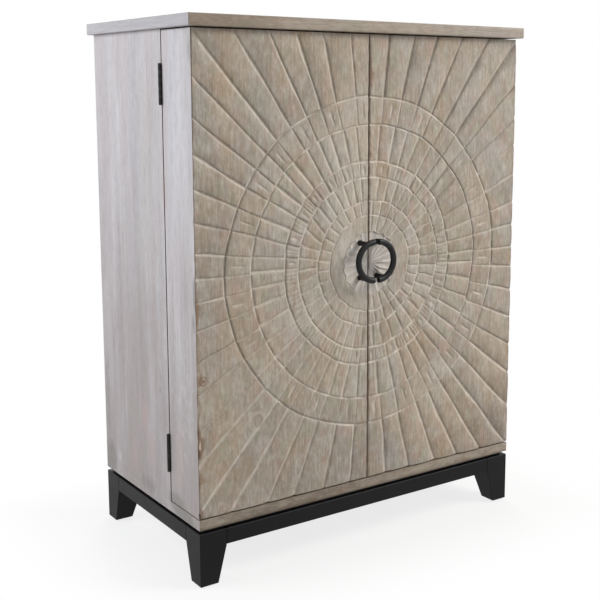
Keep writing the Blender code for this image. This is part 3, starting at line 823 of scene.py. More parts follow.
def sector_columns(bearings):
    """For each column: the bearing it keeps to, to which side, by how many metres and at most what angle.

    A column near a ray runs beside it at a fixed distance, one near a sector's middle line beside that.
    """
    edges = np.concatenate([[0], np.radians(bearings), [math.pi]])
    half = len(from_ray) + len(from_middle) - 1
    by_ray = list(zip(from_ray, np.arange(len(from_ray)) / half))
    by_middle = list(zip(from_middle, np.arange(len(from_middle) - 1, -1, -1) / half))
    columns = []
    for start, end in zip(edges[:-1], edges[1:]):
        middle = (start + end) / 2
        reach = middle - start
        for anchor, turn, stations in (
            (start, 1, by_ray),
            (middle, -1, by_middle),
            (middle, 1, by_middle[-2::-1]),
            (end, -1, by_ray[:0:-1]),
        ):
            columns += [(anchor, turn, metres, share * reach) for metres, share in stations]
    columns.append((math.pi, 1, 0, 0))
    return np.array(columns).T


def band_radii():
    """Radii of the rows up to the outermost ring: dense across each ring, even in the bands between."""
    radii = []
    outer = [ring + ring_offsets[0] for ring in ring_radii[1:]] + [0]
    for ring, steps, inside in zip(ring_radii, band_steps, outer):
        radii.append(ring + ring_offsets[::-1])
        start = ring + ring_offsets[0]
        stop = inside - ring_offsets[0] * 2 if inside else smallest_radius
        radii.append(np.linspace(start, stop, steps + 1)[1 : -1 if inside else None])
    return np.concatenate(radii)[::-1]


class Carving:
    """The carving of one door, as a depth and masks for the finish at each polar place of its grid.

    Cuts add up as the cube root of summed cubes: rays and strokes band by band, rings, gouges and the
    fluted rosette. Cells swell between cuts by a falling exponential of the way to the nearest one, and
    each is tilted a little. Wash lies in the cuts, more of it on the walls that face up or right, towards
    the light, as a painted highlight; the walls away from the light get dark painted shade.
    """

    def __init__(self, side_name, radius, bearing):
        self.side_name = side_name
        self.on_left = side_name == "left"
        self.radius = radius
        self.bearing = bearing
        self.degrees = np.degrees(bearing)
        self.random = np.random.default_rng(carving_seeds[side_name])
        self.band = len(ring_radii) - np.searchsorted(ring_radii[::-1], radius)
        self.unsteady = 0.86 + 0.16 * wander(bearing, radius, 5, 1.0, ((9, 0.11), (17, 0.07), (29, 0.16)))
        # ray_lit and ring_lit: which wall of a cut faces the light, for the painted highlight and shade
        if self.on_left:
            self.ray_lit = np.sin(bearing + math.radians(45))
            self.ring_lit = -0.7 * (np.cos(bearing) - np.sin(bearing))
        else:
            self.ray_lit = np.tanh(2.5 * np.sin(bearing - 1.08))
            self.ring_lit = -0.7 * (np.cos(bearing) + np.sin(bearing))
        self.depth = np.zeros_like(radius)
        self.wash = np.zeros_like(radius)
        self.soil_and_shade = np.zeros_like(radius)
        self.nearest = np.ones_like(radius)
        self.tone = np.full(radius.shape, 0.5)
        self.tint = np.full(radius.shape, 0.5)

    def stretches(self, places, number, soft):
        """One mask for each stretch of bearings that is listed for this ring or set of rays."""
        listed = places[self.side_name]
        return [stretch(self.degrees, low, high, soft) for which, low, high in listed if which == number]

    def cut_in(self, where, signed, half_width, cut_depth, lit, full, shaded_cut=0):
        """Cut grooves where told, and note how near they are and what lies in them: wash with a painted
        highlight on the wall facing the light, and painted shade on the other wall and beside it.
        """
        share = np.where(where, groove(signed, half_width), 0)
        # kept is 1 on the wall facing the light: painted highlight there, painted shade on the other wall
        kept = smooth_step(signed * lit, -0.0026, 0.0004)
        smear = np.where(where, bell(signed, 1.1 * half_width), 0)
        self.depth = run_together(self.depth, share * cut_depth)
        washed = share**0.7 * full * (0.25 + 0.6 * kept) * (1 - 0.55 * shaded_cut)
        self.wash = run_together(self.wash, washed)
        self.wash = np.maximum(self.wash, 0.40 * full * kept * smear * (1 - 0.6 * shaded_cut))
        in_bed = share**0.5 * (0.44 * (1 - kept) + shaded_cut * (0.55 - 0.4 * kept))
        shade_beside = smear * (0.34 * (1 - kept) + shaded_cut * (0.34 - 0.3 * kept))
        self.soil_and_shade = np.maximum(np.maximum(self.soil_and_shade, in_bed), shade_beside)
        self.nearest = np.where(where, np.minimum(self.nearest, np.abs(signed)), self.nearest)

    def cut_rays(self, number, which, half_width, cut_depth, full):
        """Cut one band's rays, which widen outside the rings, and give each cell between them its tone."""
        bearings = ray_bearings[self.side_name][which]
        rays = np.radians(bearings)
        leaning = self.bearing
        if number == 4 and self.on_left:
            lean = 1.75 * bell(self.degrees - 60, 12) - 1.5 * bell(self.degrees - 97, 6)
            leaning = self.bearing + lean * (self.radius - lean_about)
        gap, index = nearest_ray(leaning, rays)
        strength = self.random.uniform(*ray_strength, len(rays))[index] * self.unsteady
        if number == 0:
            force = [outer_ray_force[self.side_name].get(degree, 1) for degree in bearings]
            strength = strength * np.array(force)[index]
        holds = full * self.random.uniform(*ray_fullness, len(rays))[index]
        shaded_cut = sum(self.stretches(shade_painted_rays, number, 10))
        broad = 0
        if number == 0 and not self.on_left:
            broad = 0.25 * stretch(self.degrees, 130, 180, 10)
        widen = 1 + ray_widening * np.clip(self.radius - ring_radii[0], 0, 0.2)
        reach = half_width * widen * (1 + 0.15 * shaded_cut + broad)
        here = self.band == number
        signed = gap * self.radius / strength
        self.cut_in(here, signed, reach, cut_depth * strength, self.ray_lit, holds, shaded_cut)
        cell = np.searchsorted(rays, self.bearing)
        self.tone = np.where(here, self.random.random(most_cells)[cell], self.tone)
        self.tint = np.where(here, self.random.random(most_cells)[cell], self.tint)
        if number == 5 and not self.on_left:
            fanned = (self.band == 6) & ((self.degrees < 48) | (self.degrees > 134))
            self.cut_in(fanned, gap * self.radius, *fan_cut, self.ray_lit, 0.7)
        if number in gouge_lengths:
            self.gouge_cells(number, rays, cell)

    def gouge_cells(self, number, rays, cell):
        """A gouge mark in every other cell; in the narrower band the rest get two light strokes each."""
        ends = np.concatenate([[0], rays, [math.pi]])
        across = (self.bearing - (ends[cell] + ends[cell + 1]) / 2) * self.radius
        gouged = (self.band == number) & (cell % 2 == (0 if self.on_left else 1))
        middle = (ring_radii[number - 1] + ring_radii[number]) / 2
        middle = middle + self.random.uniform(-0.003, 0.003, most_cells)[cell]
        along = self.radius - middle
        swerve = self.random.uniform(-0.0006, 0.0008, most_cells)[cell] * np.sin(along * 150)
        mark = np.where(gouged, scoop(across - swerve, along, gouge_half_width, gouge_lengths[number]), 0)
        self.depth = run_together(self.depth, mark * gouge_depth)
        self.wash = np.maximum(self.wash, mark * self.random.uniform(0.45, 0.85, most_cells)[cell])
        if number == 3:
            plain = (self.band == 3) & ~gouged
            lit = np.sign(across) * self.ray_lit
            self.cut_in(plain, np.abs(across) - stroke_gap, *stroke_cut, lit, 0.6)

    def cut_ring(self, number, pools):
        """Cut one ring: nearly round, kinked a little at each outer ray, with wash and a painted highlight on
        the wall facing the light, and painted shade on the other wall and in listed stretches of the cut.
        """
        ring = ring_radii[number]
        corners = np.radians([0, *ray_bearings[self.side_name][0], 180])
        kinks = self.random.uniform(-kink_size, kink_size, len(corners)) * ring / kink_radius
        if not self.on_left and number < 3:
            kinks = kinks * (1 + 1.2 * stretch(np.degrees(corners), 122, 158, 14))
        signed = self.radius - ring - np.interp(self.bearing, corners, kinks)
        share = groove(signed, ring_widths[number])
        for faint in self.stretches(faint_rings, number, 6):
            share = share * (1 - 0.65 * faint)
        darkened = np.zeros_like(self.radius)
        for listed_dark in self.stretches(darkened_rings, number, 8):
            darkened = np.maximum(darkened, listed_dark)
        kept = smooth_step(signed * self.ring_lit, -0.0018, 0.0006)
        waves = ((11, 0.4), (23, 0.5), (41, 0.7))
        patchy = 0.65 + 0.3 * wander(self.bearing, self.radius, 40 + number, 1.0, waves)
        patchy = patchy * (0.4 if number == 6 else 1)
        broken = 1
        if not self.on_left and number != 1:
            waves = ((19, 1.6), (33, 1.9), (57, 2.3))
            skipped = wander(self.bearing, self.radius, 60 + number, 1.0, waves)
            broken = 0.35 + 0.65 * smooth_step(skipped, -0.7, 0.3)
        self.depth = run_together(self.depth, share * ring_depths[number] * (0.5 + 0.5 * broken))
        # Wash and a painted highlight on the wall facing the light; painted shade on the other wall
        washed = share**0.7 * patchy * (0.3 + 0.7 * kept) * (1 - 0.8 * darkened * (1 - kept))
        self.wash = run_together(self.wash, washed)
        shade_on_wall = share * (1 - kept) * (0.30 + 0.55 * darkened) * broken
        in_bed = share * darkened * broken * (0.45 if self.on_left else 0.3)
        self.soil_and_shade = np.maximum(np.maximum(self.soil_and_shade, shade_on_wall), in_bed)
        self.nearest = np.minimum(self.nearest, np.abs(signed))
        if number < 6:
            outside = smooth_step(signed, 0, 0.002) * bell(signed, 0.007)
            self.wash = np.maximum(self.wash, 0.75 * pools * outside * (0.4 + 0.6 * (self.degrees > 90)))

    def end_long_ray(self):
        """The ray to the upper left corner ends bluntly, in a spot of wash, and goes on faintly."""
        beyond = smooth_step(self.radius, 0.652, 0.657) * stretch(self.degrees, 39, 44, 1)
        self.wash = self.wash * (1 - 0.8 * beyond)
        self.depth = self.depth * (1 - 0.5 * beyond)
        radius, degrees = long_ray_end
        blunt = np.exp(-(((self.radius - radius) / 0.004) ** 2) - ((self.degrees - degrees) / 0.5) ** 2)
        self.wash = np.maximum(self.wash, blunt)

    def cut_rosette(self):
        """Hollow flutes, each (1 - s^2) deep where s runs from -1 to 1 across it, with a scalloped rim."""
        flute = self.bearing / math.pi * rosette_flutes
        swing = 2 * (flute - np.floor(flute)) - 1
        rim = ring_radii[6] - 0.004 * swing**2
        hollow = (1 - swing**2) * flute_depths[self.side_name] * smooth_step(self.radius, 0.002, 0.026)
        petals = (hollow + 0.0005) * (1 - smooth_step(self.radius, rim - 0.003, rim))
        self.depth = np.maximum(self.depth, petals)
        # Pale rosette, palest on the flutes' ridges and least in their hollows: painted highlight on the
        # ridges and painted shade in the hollows
        self.rosette = smooth_step(rim - self.radius, -0.001, 0.004) * (0.35 + 0.65 * np.abs(swing) ** 2)
        duller = smooth_step(self.degrees, 95, 125) * smooth_step(self.radius, 0.040, 0.055)
        self.rosette = self.rosette * (1 - 0.3 * duller)
        shadow = bell(self.radius - rim, 0.0019) * stretch(self.degrees, 48, 128, 10)
        self.soil_and_shade = np.maximum(self.soil_and_shade, (0.95 if self.on_left else 0.35) * shadow)

    def worn_depth(self):
        """The cuts' depth, with the wear towards them, which falls as e to the power -way / length.

        Between its cuts each cell is also tilted a little in or out, by its own tone.
        """
        wear = swell_height + (0 if self.on_left else swell_height * stretch(self.degrees, 96, 180, 20))
        outside = smooth_step(self.radius, ring_radii[6], ring_radii[6] + 0.006)
        swell = wear * np.exp(-self.nearest / swell_length) * outside
        tilt = (self.tone - 0.5) * cell_tilt * smooth_step(self.nearest, 0.001, 0.006)
        return self.depth + swell + tilt


def carve(side_name, radius, bearing):
    """Depth of the carving at each polar place, and masks for the finish: all its cuts in turn."""
    carving = Carving(side_name, radius, bearing)
    for number, cuts in enumerate(ray_cuts):
        carving.cut_rays(number, *cuts)
    pools = bell(carving.nearest, 0.005)
    for number in range(len(ring_radii)):
        carving.cut_ring(number, pools)
    if carving.on_left:
        carving.end_long_ray()
    carving.cut_rosette()
    masks = {
        "wash": carving.wash,
        "soil_and_shade": carving.soil_and_shade,
        "rosette": carving.rosette,
        "tone": carving.tone,
        "tint": carving.tint,
    }
    return carving.worn_depth(), masks


def polar_grid(side_name, reach_out, reach_up, reach_down):
    """Radius and bearing of each point of a carved front, and its place across and up from the centre.

    Rows are rings up to the outermost one, then even shares of the way to the panel's rim. Columns are
    bearings, which go over from one set of rays to the other at the second ring. The columns that end
    nearest to the two outer corners are drawn onto them by the cube of the share of the way.
    """
    columns_outside, columns_inside = [sector_columns(rays) for rays in ray_bearings[side_name][:2]]

    def bearing_at(radius):
        """Each column's bearing: that of its ray or middle line, and metres beside it over the radius."""
        outside, inside = [
            anchor + turn * np.minimum(metres / radius, limit)
            for anchor, turn, metres, limit in (columns_outside, columns_inside)
        ]
        over = smooth_step(radius, ring_radii[1] - 0.004, ring_radii[1] + 0.004)
        return inside + (outside - inside) * over

    columns = columns_outside.shape[1]
    rim = np.full(columns, reach_up)
    for _ in range(rim_rounds):
        bearing = bearing_at(rim)
        up = np.where(np.cos(bearing) > 0, reach_up, reach_down)
        to_side = reach_out / np.maximum(np.sin(bearing), 1e-9)
        rim = np.minimum(to_side, up / np.maximum(np.abs(np.cos(bearing)), 1e-9))
    inner = band_radii()
    start = inner[-1]
    shares = np.linspace(0, 1, outer_steps + 1)[1:, None]
    outward = start + (rim - rim_offsets[0] * 1.6 - start) * shares
    outer = np.concatenate([outward, rim - rim_offsets[:, None]])
    radius = np.concatenate([np.repeat(inner[:, None], columns, axis=1), outer])
    bearing = bearing_at(radius)

    flat_x = radius * np.sin(bearing)
    flat_z = radius * np.cos(bearing)
    for corner in ((reach_out, reach_up), (reach_out, -reach_down)):
        miss = np.hypot(flat_x[-1] - corner[0], flat_z[-1] - corner[1])
        column = miss.argmin()
        share = np.clip((radius[:, column] - start) / (rim[column] - start), 0, 1) ** 3
        flat_x[:, column] += (corner[0] - flat_x[-1, column]) * share
        flat_z[:, column] += (corner[1] - flat_z[-1, column]) * share
    return radius, bearing, flat_x, flat_z


def unsteady_lines(seed, near_middle, radius, bearing):
    """How far a carver's hand strays outwards and sideways: slow waves, and quick ones near the middle."""
    outwards = wander(bearing, radius, seed, 0.0010, ((3, 0.31), (7, 0.21), (13, 0.12)))
    sideways = wander(bearing, radius, seed + 10, 0.0008, ((9, 0.44), (15, 0.27), (24, 0.19)))
    quick = ((37, 0.047), (53, 0.034), (71, 0.063))
    outwards = outwards + near_middle * wander(bearing, radius, seed + 30, 0.0004, quick)
    sideways = sideways + near_middle * wander(bearing, radius, seed + 40, 0.0007, quick)
    return outwards, sideways


def close_behind(points, rows, columns, rear_middle):
    """Walls from a grid's rim back to a flat rear, and a fan of triangles about the rear's middle.

    The rim runs in along the first column, out along the last one and back along the last row.
    """
    loop = np.concatenate(
        [
            np.arange(rows - 1, -1, -1) * columns,
            np.arange(1, rows) * columns + columns - 1,
            (rows - 1) * columns + np.arange(columns - 2, 0, -1),
        ]
    )
    rear = points[loop].copy()
    rear[:, 1] = rear_middle[1]
    behind = len(points) + np.arange(len(loop))
    after = np.roll(np.arange(len(loop)), -1)
    walls = np.stack([loop, behind, behind[after], loop[after]], axis=1)
    fan = np.stack([behind, np.full(len(loop), len(points) + len(loop)), behind[after]], axis=1)
    return np.concatenate([points, rear, [rear_middle]]), walls, fan


def carved_panel(door, material, side_material, bare_material):
    """A door's carved front as one closed surface.

    The grid's rows are rings and its columns rays about the carving's centre. The outer rows run out to
    the panel's rim, a soft push moves the first and last column onto the meeting edge, and the depth of
    the carving moves each point back from the front. The edges are worn and chipped by falling shares of
    the way to them.
    """
    side_name = door.split("_")[0]
    on_left = side_name == "left"
    side = -1 if on_left else 1
    low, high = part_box(f"{door}_carved_panel")
    front, back = low.y, high.y
    outer_x, meeting_x = (low.x, high.x) if on_left else (high.x, low.x)
    reach_out = abs(outer_x - carving_x)
    reach_up = high.z - carving_z
    reach_down = carving_z - low.z
    meeting = (meeting_x - carving_x) * side
    radius, bearing, flat_x, flat_z = polar_grid(side_name, reach_out, reach_up, reach_down)

    seed = panel_seeds[side_name]
    rim_gap = np.minimum.reduce([flat_x, reach_out - flat_x, reach_up - flat_z, reach_down + flat_z])
    fade = smooth_step(rim_gap, 0, rim_fade)
    near_middle = smooth_step(-radius, -0.30, -0.20) * (0.5 if on_left else 1.0)
    outwards, sideways = unsteady_lines(seed, near_middle, radius, bearing)
    flat_x = flat_x + fade * (outwards * np.sin(bearing) + sideways * np.cos(bearing))
    flat_z = flat_z + fade * (outwards * np.cos(bearing) - sideways * np.sin(bearing))
    pushed = flat_x + meeting * np.exp(-flat_x / push_length)
    x = carving_x + side * pushed
    z = carving_z + flat_z

    depth, masks = carve(side_name, radius, bearing)
    from_outer = reach_out - flat_x
    from_meeting = pushed - meeting
    from_bottom = reach_down + flat_z
    edge_gap = np.minimum.reduce([from_meeting, from_outer, reach_up - flat_z, from_bottom])
    depth = depth * (1 - (0.75 if on_left else 0.45) * near_edge(from_outer, 0.012))
    depth = depth * (1 - 0.6 * near_edge(from_meeting, 0.008))
    worn = arris_wear + arris_waver * wander(bearing, radius, seed + 20, 1.0, ((31, 0.05), (57, 0.03)))
    depth = depth + np.maximum(worn, least_wear) * near_edge(edge_gap, wear_reach) ** 2
    if not on_left:
        depth = depth + seam_wear * near_edge(from_meeting, seam_reach) ** 2
    chipped = np.zeros_like(z)
    for height, half_length, chip_depth in edge_chips[side_name]:
        bite = bell(z - height, half_length) * (0.7 + 0.3 * np.sin((z - height) * 900))
        depth = depth + chip_depth * bite * near_edge(from_outer, 0.006)
        chipped = np.maximum(chipped, np.abs(bite) * near_edge(from_outer, 0.012))

    near_rim = near_edge(np.minimum(from_outer, from_bottom + 0.004), 0.016)
    # Stain along the meeting edges; on the right door it is stronger and is also painted shade by the seam
    seam_stain_and_shade = near_edge(from_meeting, 0.008) * (0.4 if on_left else 1.2)
    masks["edge"] = np.maximum(near_rim, seam_stain_and_shade) + chipped
    dark = np.interp(z, *zip(*arris_lines)) if on_left else 0.55
    masks["dark_arris_and_seam_shade"] = np.clip(1.3 - from_outer / 0.0026, 0, 1) * dark
    if on_left:
        # A pale line down the meeting edge: painted highlight on its arris
        masks["wash"] = np.maximum(masks["wash"], 0.85 * near_edge(from_meeting, 0.0022))
    else:
        # Dark along the right door's meeting edge: painted shade of the seam over its rounded arris
        seam_shade = 0.42 * np.clip(1.2 - from_meeting / 0.0065, 0, 1)
        masks["dark_arris_and_seam_shade"] = np.maximum(masks["dark_arris_and_seam_shade"], seam_shade)

    rows, columns = radius.shape
    points = np.stack([x, front + depth, z], axis=-1).reshape(-1, 3)
    rear_middle = ((outer_x + meeting_x) / 2, back, (low.z + high.z) / 2)
    closed, walls, fan = close_behind(points, rows, columns, rear_middle)
    meeting_walls = 2 * rows - 1
    blocks = [
        (material, grid_faces(rows, columns)),
        (material, np.arange(columns)[None, :]),
        (bare_material, walls[:meeting_walls]),
        (side_material, walls[meeting_walls:]),
        (side_material, fan),
    ]
    if not on_left:
        blocks = [(look, faces[:, ::-1]) for look, faces in blocks]
    unmarked = np.zeros(len(closed) - len(points))
    filled = {key: np.append(values.ravel(), unmarked) for key, values in masks.items()}
    panel = add_mesh(f"{door}_carving", closed, blocks, 40.0, filled)
    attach(panel, door)
    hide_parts(f"{door}_carved_panel")


def rounded_board(low, high, radius, flush):
    """A box with rounded edges: each surface point of the box is pulled to within radius of a smaller box.

    A face named in flush, such as -y or +z, keeps square edges: the box is made too long there and cut.
    """
    low, high = np.array(low), np.array(high)
    limits = low.copy(), high.copy()
    for face in flush:
        axis = "xyz".index(face[1])
        if face[0] == "-":
            low[axis] -= radius
        else:
            high[axis] += radius
    turns = radius * np.tan(np.radians([0, 15, 30, 45]))
    stations = []
    for bottom, top in zip(low, high):
        count = max(2, int((top - bottom) / board_step) + 1)
        inner = np.linspace(bottom + radius, top - radius, count)
        stations.append(np.concatenate([bottom + radius - turns[:0:-1], inner, top - radius + turns[1:]]))
    points = []
    faces = []
    for axis in range(3):
        first, second = [other for other in range(3) if other != axis]
        across, along = np.meshgrid(stations[first], stations[second], indexing="ij")
        for outward, level in ((-1, low[axis]), (1, high[axis])):
            face = np.empty(across.shape + (3,))
            face[..., axis] = level
            face[..., first] = across
            face[..., second] = along
            quads = grid_faces(*across.shape, first=sum(len(block) for block in points))
            faces.append(quads if (outward > 0) == (axis != 1) else quads[:, ::-1])
            points.append(face.reshape(-1, 3))
    points = np.concatenate(points)
    inside = np.clip(points, low + radius, high - radius)
    away = points - inside
    points = inside + radius * away / np.linalg.norm(away, axis=1)[:, None]
    points = np.clip(points, *limits)
    _, kept, index = np.unique(np.round(points, 7), axis=0, return_index=True, return_inverse=True)
    return points[kept], index.reshape(-1)[np.concatenate(faces)]


def board_piece(node, body, radius, material, flush=(), front=None, back=None, ends=None):
    """A board's own box with softly rounded edges, in place of its node.

    front, back and ends are other materials, for its front and back edges and its left and right ends.
    """
    low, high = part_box(node)
    points, faces = rounded_board(low, high, radius, flush)
    middle = points[faces].mean(axis=1)
    at_low = middle < np.array(low) + radius * 0.9
    at_high = middle > np.array(high) - radius * 0.9
    plain = np.ones(len(faces), bool)
    blocks = []
    at_ends = at_low[:, 0] | at_high[:, 0]
    for other, there in ((front, at_low[:, 1]), (back, at_high[:, 1]), (ends, at_ends)):
        if other:
            blocks.append((other, faces[there & plain]))
            plain &= ~there
    piece = add_mesh(f"{node}_board", points, [(material, faces[plain])] + blocks)
    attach(piece, body)
    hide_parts(node)


def tube(path, radius, sides, end_round):
    """A round bar along a flat path in X and Z, its ends drawn in over a short rounding.

    Each ring is path + radius * (cos a * normal + sin a * Y), and the last rings shrink to a point.
    """
    tangent = np.gradient(path, axis=0)
    tangent /= np.linalg.norm(tangent, axis=1)[:, None]
    inset = end_round * np.array([0.0, 0.06, 0.35, 1.0])[:, None]
    start = path[0] + tangent[0] * inset
    stop = path[-1] - tangent[-1] * inset[::-1]
    centres = np.concatenate([start, path[1:-1], stop])
    tangents = np.concatenate([[tangent[0]] * 4, tangent[1:-1], [tangent[-1]] * 4])
    drawn_in = np.array([radius, end_round * 0.45, end_round * 0.12, 0])
    radii = radius - np.concatenate([drawn_in, np.zeros(len(path) - 2), drawn_in[::-1]])
    normals = np.stack([tangents[:, 2], np.zeros(len(tangents)), -tangents[:, 0]], axis=1)
    turn = 2 * math.pi * np.arange(sides)[None, :, None] / sides
    ring = np.cos(turn) * normals[:, None, :] + np.sin(turn) * np.array([0, 1, 0])
    return closed_rings(centres[:, None, :] + radii[:, None, None] * ring)


def closed_rings(rings):
    """Join rings of points into a surface whose first and last rings are single points.

    Faces point outward when the rings turn right-handed about the way from first to last, so rings
    that turn the other way are taken backwards.
    """
    count, sides, _ = rings.shape
    spokes = rings[count // 2, :2] - rings[count // 2].mean(axis=0)
    if np.dot(np.cross(*spokes), rings[-1, 0] - rings[0, 0]) < 0:
        rings = rings[:, ::-1]
    points = np.concatenate([rings[:1, 0], rings[1:-1].reshape(-1, 3), rings[-1:, 0]])
    here = np.arange(sides)
    after = (here + 1) % sides
    last = len(points) - 1 - sides
    start_cap = np.stack([np.zeros(sides, int), 1 + after, 1 + here], axis=1)
    end_cap = np.stack([np.full(sides, len(points) - 1), last + here, last + after], axis=1)
    return points, [grid_faces(count - 2, sides, 1, True), start_cap, end_cap]


def turned(centre, axis, profile, sides):
    """A turned piece about a line along one axis: each (level, radius) of the profile is one ring."""
    level, radius = np.array(profile).T
    turn = 2 * math.pi * np.arange(sides) / sides
    first, second = [other for other in range(3) if other != axis]
    rings = np.empty((len(level), sides, 3))
    rings[..., axis] = level[:, None]
    rings[..., first] = centre[first] + radius[:, None] * np.cos(turn)
    rings[..., second] = centre[second] + radius[:, None] * np.sin(turn)
    return closed_rings(rings)


def joined(parts, material):
    """Several closed surfaces as one list of points, and their faces in blocks of one material."""
    starts = np.cumsum([0] + [len(points) for points, _ in parts])
    blocks = [(material, faces + start) for start, (_, part) in zip(starts, parts) for faces in part]
    return np.concatenate([points for points, _ in parts]), blocks


def ring_handle(door, material):
    """Half of the split ring on its two posts, each post with a small collar on the panel."""
    side = -1 if door.startswith("left") else 1
    low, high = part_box(f"{door}_handle")
    end_x = high.x if side < 0 else low.x
    ring_radius = (high.z - low.z) / 2 + ring_growth - bar_radius
    centre_z = (low.z + high.z) / 2 + ring_lift
    ring_y = low.y + bar_radius
    bearing = np.linspace(0, math.pi, 49)
    path = np.stack(
        [
            end_x + side * ring_radius * np.sin(bearing),
            np.full_like(bearing, ring_y),
            centre_z + ring_radius * np.cos(bearing),
        ],
        axis=1,
    )
    parts = [tube(path, bar_radius, 28, bar_end_round)]
    profile = (
        (ring_y, 0),
        (ring_y, post_radius),
        (high.y - 0.0050, post_radius),
        (high.y - 0.0034, post_radius + 0.0003),
        (high.y - 0.0022, collar_radius - 0.0004),
        (high.y - 0.0008, collar_radius),
        (high.y, collar_radius - 0.0004),
        (high.y, 0),
    )
    post_x = end_x + side * ring_radius * math.cos(math.radians(post_angle))
    for up in (-1, 1):
        post_z = centre_z + up * ring_radius * math.sin(math.radians(post_angle))
        parts.append(turned((post_x, 0, post_z), 1, profile, 24))
    points, blocks = joined(parts, material)
    handle = add_mesh(f"{door}_ring_handle", points, blocks, 60.0)
    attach(handle, door)
    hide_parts(f"{door}_handle")


def screw_head(centre, facing, radius, proud, turn):
    """A cross-slotted screw head: a grid of rings and bearings that rises by a height over its seat.

    Height is proud * (1 - (r / radius)^3), less a slot where the distance to the nearer of two crossed
    lines is under a tenth of the radius. The rim goes down a little into what holds the screw.
    """
    share = np.array([0.02, 0.09, 0.12, 0.3, 0.5, 0.56, 0.6, 0.8, 0.93, 1.0])[:, None]
    bearing = (2 * math.pi * np.arange(screw_sides) / screw_sides)[None, :]
    across = share * np.cos(bearing)
    along = share * np.sin(bearing)
    off = np.minimum(np.abs(across), np.abs(along))
    slot = smooth_step(0.16 - off, 0, 0.06) * smooth_step(0.62 - share, 0, 0.06)
    height = proud * (1 - share**3) - slot * radius * 0.22
    side = np.cos(turn) * across - np.sin(turn) * along
    up = np.sin(turn) * across + np.cos(turn) * along
    sunk = -radius * 0.3 - proud
    rim = np.stack([side[-1:], up[-1:], np.full_like(side[-1:], sunk)], axis=-1)
    tip = np.array([[[0, 0, height[0, 0]]] * screw_sides, [[0, 0, sunk]] * screw_sides])
    top = np.stack([side, up, height], axis=-1)
    rings = np.concatenate([tip[:1], top, rim, tip[1:]])
    rings[..., :2] *= radius
    facing = np.array(facing, float)
    level = np.array((0.0, 0.0, 1.0)) if abs(facing[2]) < 0.5 else np.array((0.0, 1.0, 0.0))
    first = np.cross(level, facing)
    axes = np.stack([first, level, facing])
    return closed_rings(np.array(centre) + rings @ axes)


def screws(name, body, slot, material, heads, radius, proud):
    """A set of screw heads on one body, each turned as the driver left it."""
    random = np.random.default_rng(len(heads) * 7 + len(name))
    parts = [screw_head(*head, radius, proud, random.uniform(0, math.pi)) for head in heads]
    points, blocks = joined(parts, material)
    piece = add_mesh(name, points, blocks, 35.0)
    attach(piece, body)


def hinge_screws(door):
    """Three screws in each leaf, on the faces that show when the door is open."""
    side = -1 if door.startswith("left") else 1
    frame_heads = []
    door_heads = []
    for level in ("lower", "upper"):
        low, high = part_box(f"{door}_{level}_hinge_frame_leaf")
        for share, inward in hinge_screw_places:
            x = side * (abs(high.x if side > 0 else low.x) - inward)
            z = low.z + share * (high.z - low.z)
            frame_heads.append(((x, frame_leaf_face, z), (0, -1, 0)))
            door_heads.append(((x, door_leaf_face, z), (0, 1, 0)))
    for leaf, body, heads in (("frame", "cabinet", frame_heads), ("door", door, door_heads)):
        name = f"{door}_{leaf}_leaf_screws"
        screws(name, body, "black_metal", hinge_metal, heads, *hinge_screw_size)


def pin_domes(door):
    """A low dome on each end of each hinge pin, set a little into the end knuckle."""
    side = -1 if door.startswith("left") else 1
    parts = []
    for level in ("lower", "upper"):
        low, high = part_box(f"{door}_{level}_hinge_frame_leaf")
        for end, up in ((low.z, -1), (high.z, 1)):
            profile = [(end + up * rise, radius) for rise, radius in dome_profile]
            parts.append(turned((side * hinge_x, hinge_y, 0), 2, profile, 24))
    points, blocks = joined(parts, hinge_metal)
    domes = add_mesh(f"{door}_hinge_domes", points, blocks, 60.0)
    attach(domes, "cabinet")


def back_screws():
    """Screws round the back panel, and down the line of each fixed shelf."""
    low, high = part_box("back_panel")
    up_sides = np.linspace(low.z + 0.05, high.z - 0.05, 6)
    along_ends = np.linspace(low.x + 0.12, high.x - 0.12, 4)
    sides = [(x, z) for x in (low.x + 0.010, high.x - 0.010) for z in up_sides]
    ends = [(x, z) for z in (low.z + 0.010, high.z - 0.012) for x in along_ends]
    shelves = []
    for shelf in ("lower_shelf", "middle_shelf"):
        bottom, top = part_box(shelf)
        shelves += [(x, (bottom.z + top.z) / 2) for x in (-0.24, 0.0, 0.24)]
    heads = [((x, high.y, z), (0, 1, 0)) for x, z in sides + ends + shelves]
    screws("back_panel_screws", "cabinet", "bright_steel", steel, heads, *back_screw_size)


def make_floor():
    """A pale floor that keeps the shadow near the cabinet and fades into the white background."""
    half = floor_half_side
    points = np.array([(-half, -half, 0), (half, -half, 0), (half, half, 0), (-half, half, 0)], float)
    points[:, 2] -= floor_drop
    finish = Finish("pale_floor", 0.8)
    low, high = cad_box
    beside = abs(finish.x) - high[0]
    beyond = abs(finish.y - (low[1] + high[1]) / 2) - (high[1] - low[1]) / 2
    far = beside.at_least(beyond).between(0, floor_fade_length)
    amount = finish.background_seen() * (floor_glow + far * (1 - floor_glow))
    glow = finish.node("ShaderNodeEmission", {}, {"Color": (1, 1, 1, 1), "Strength": 1.0})
    finish.shader.inputs["Base Color"].default_value = linear(floor_colour)
    shader = Value(finish, finish.shader.outputs[0])
    mixed = finish.node("ShaderNodeMixShader", {}, {0: amount, 1: shader, 2: glow})
    finish.tree.links.new(mixed.socket, finish.tree.nodes["Material Output"].inputs["Surface"])
    floor = add_mesh("floor", points, [(finish.material, np.array([[0, 1, 2, 3]]))])


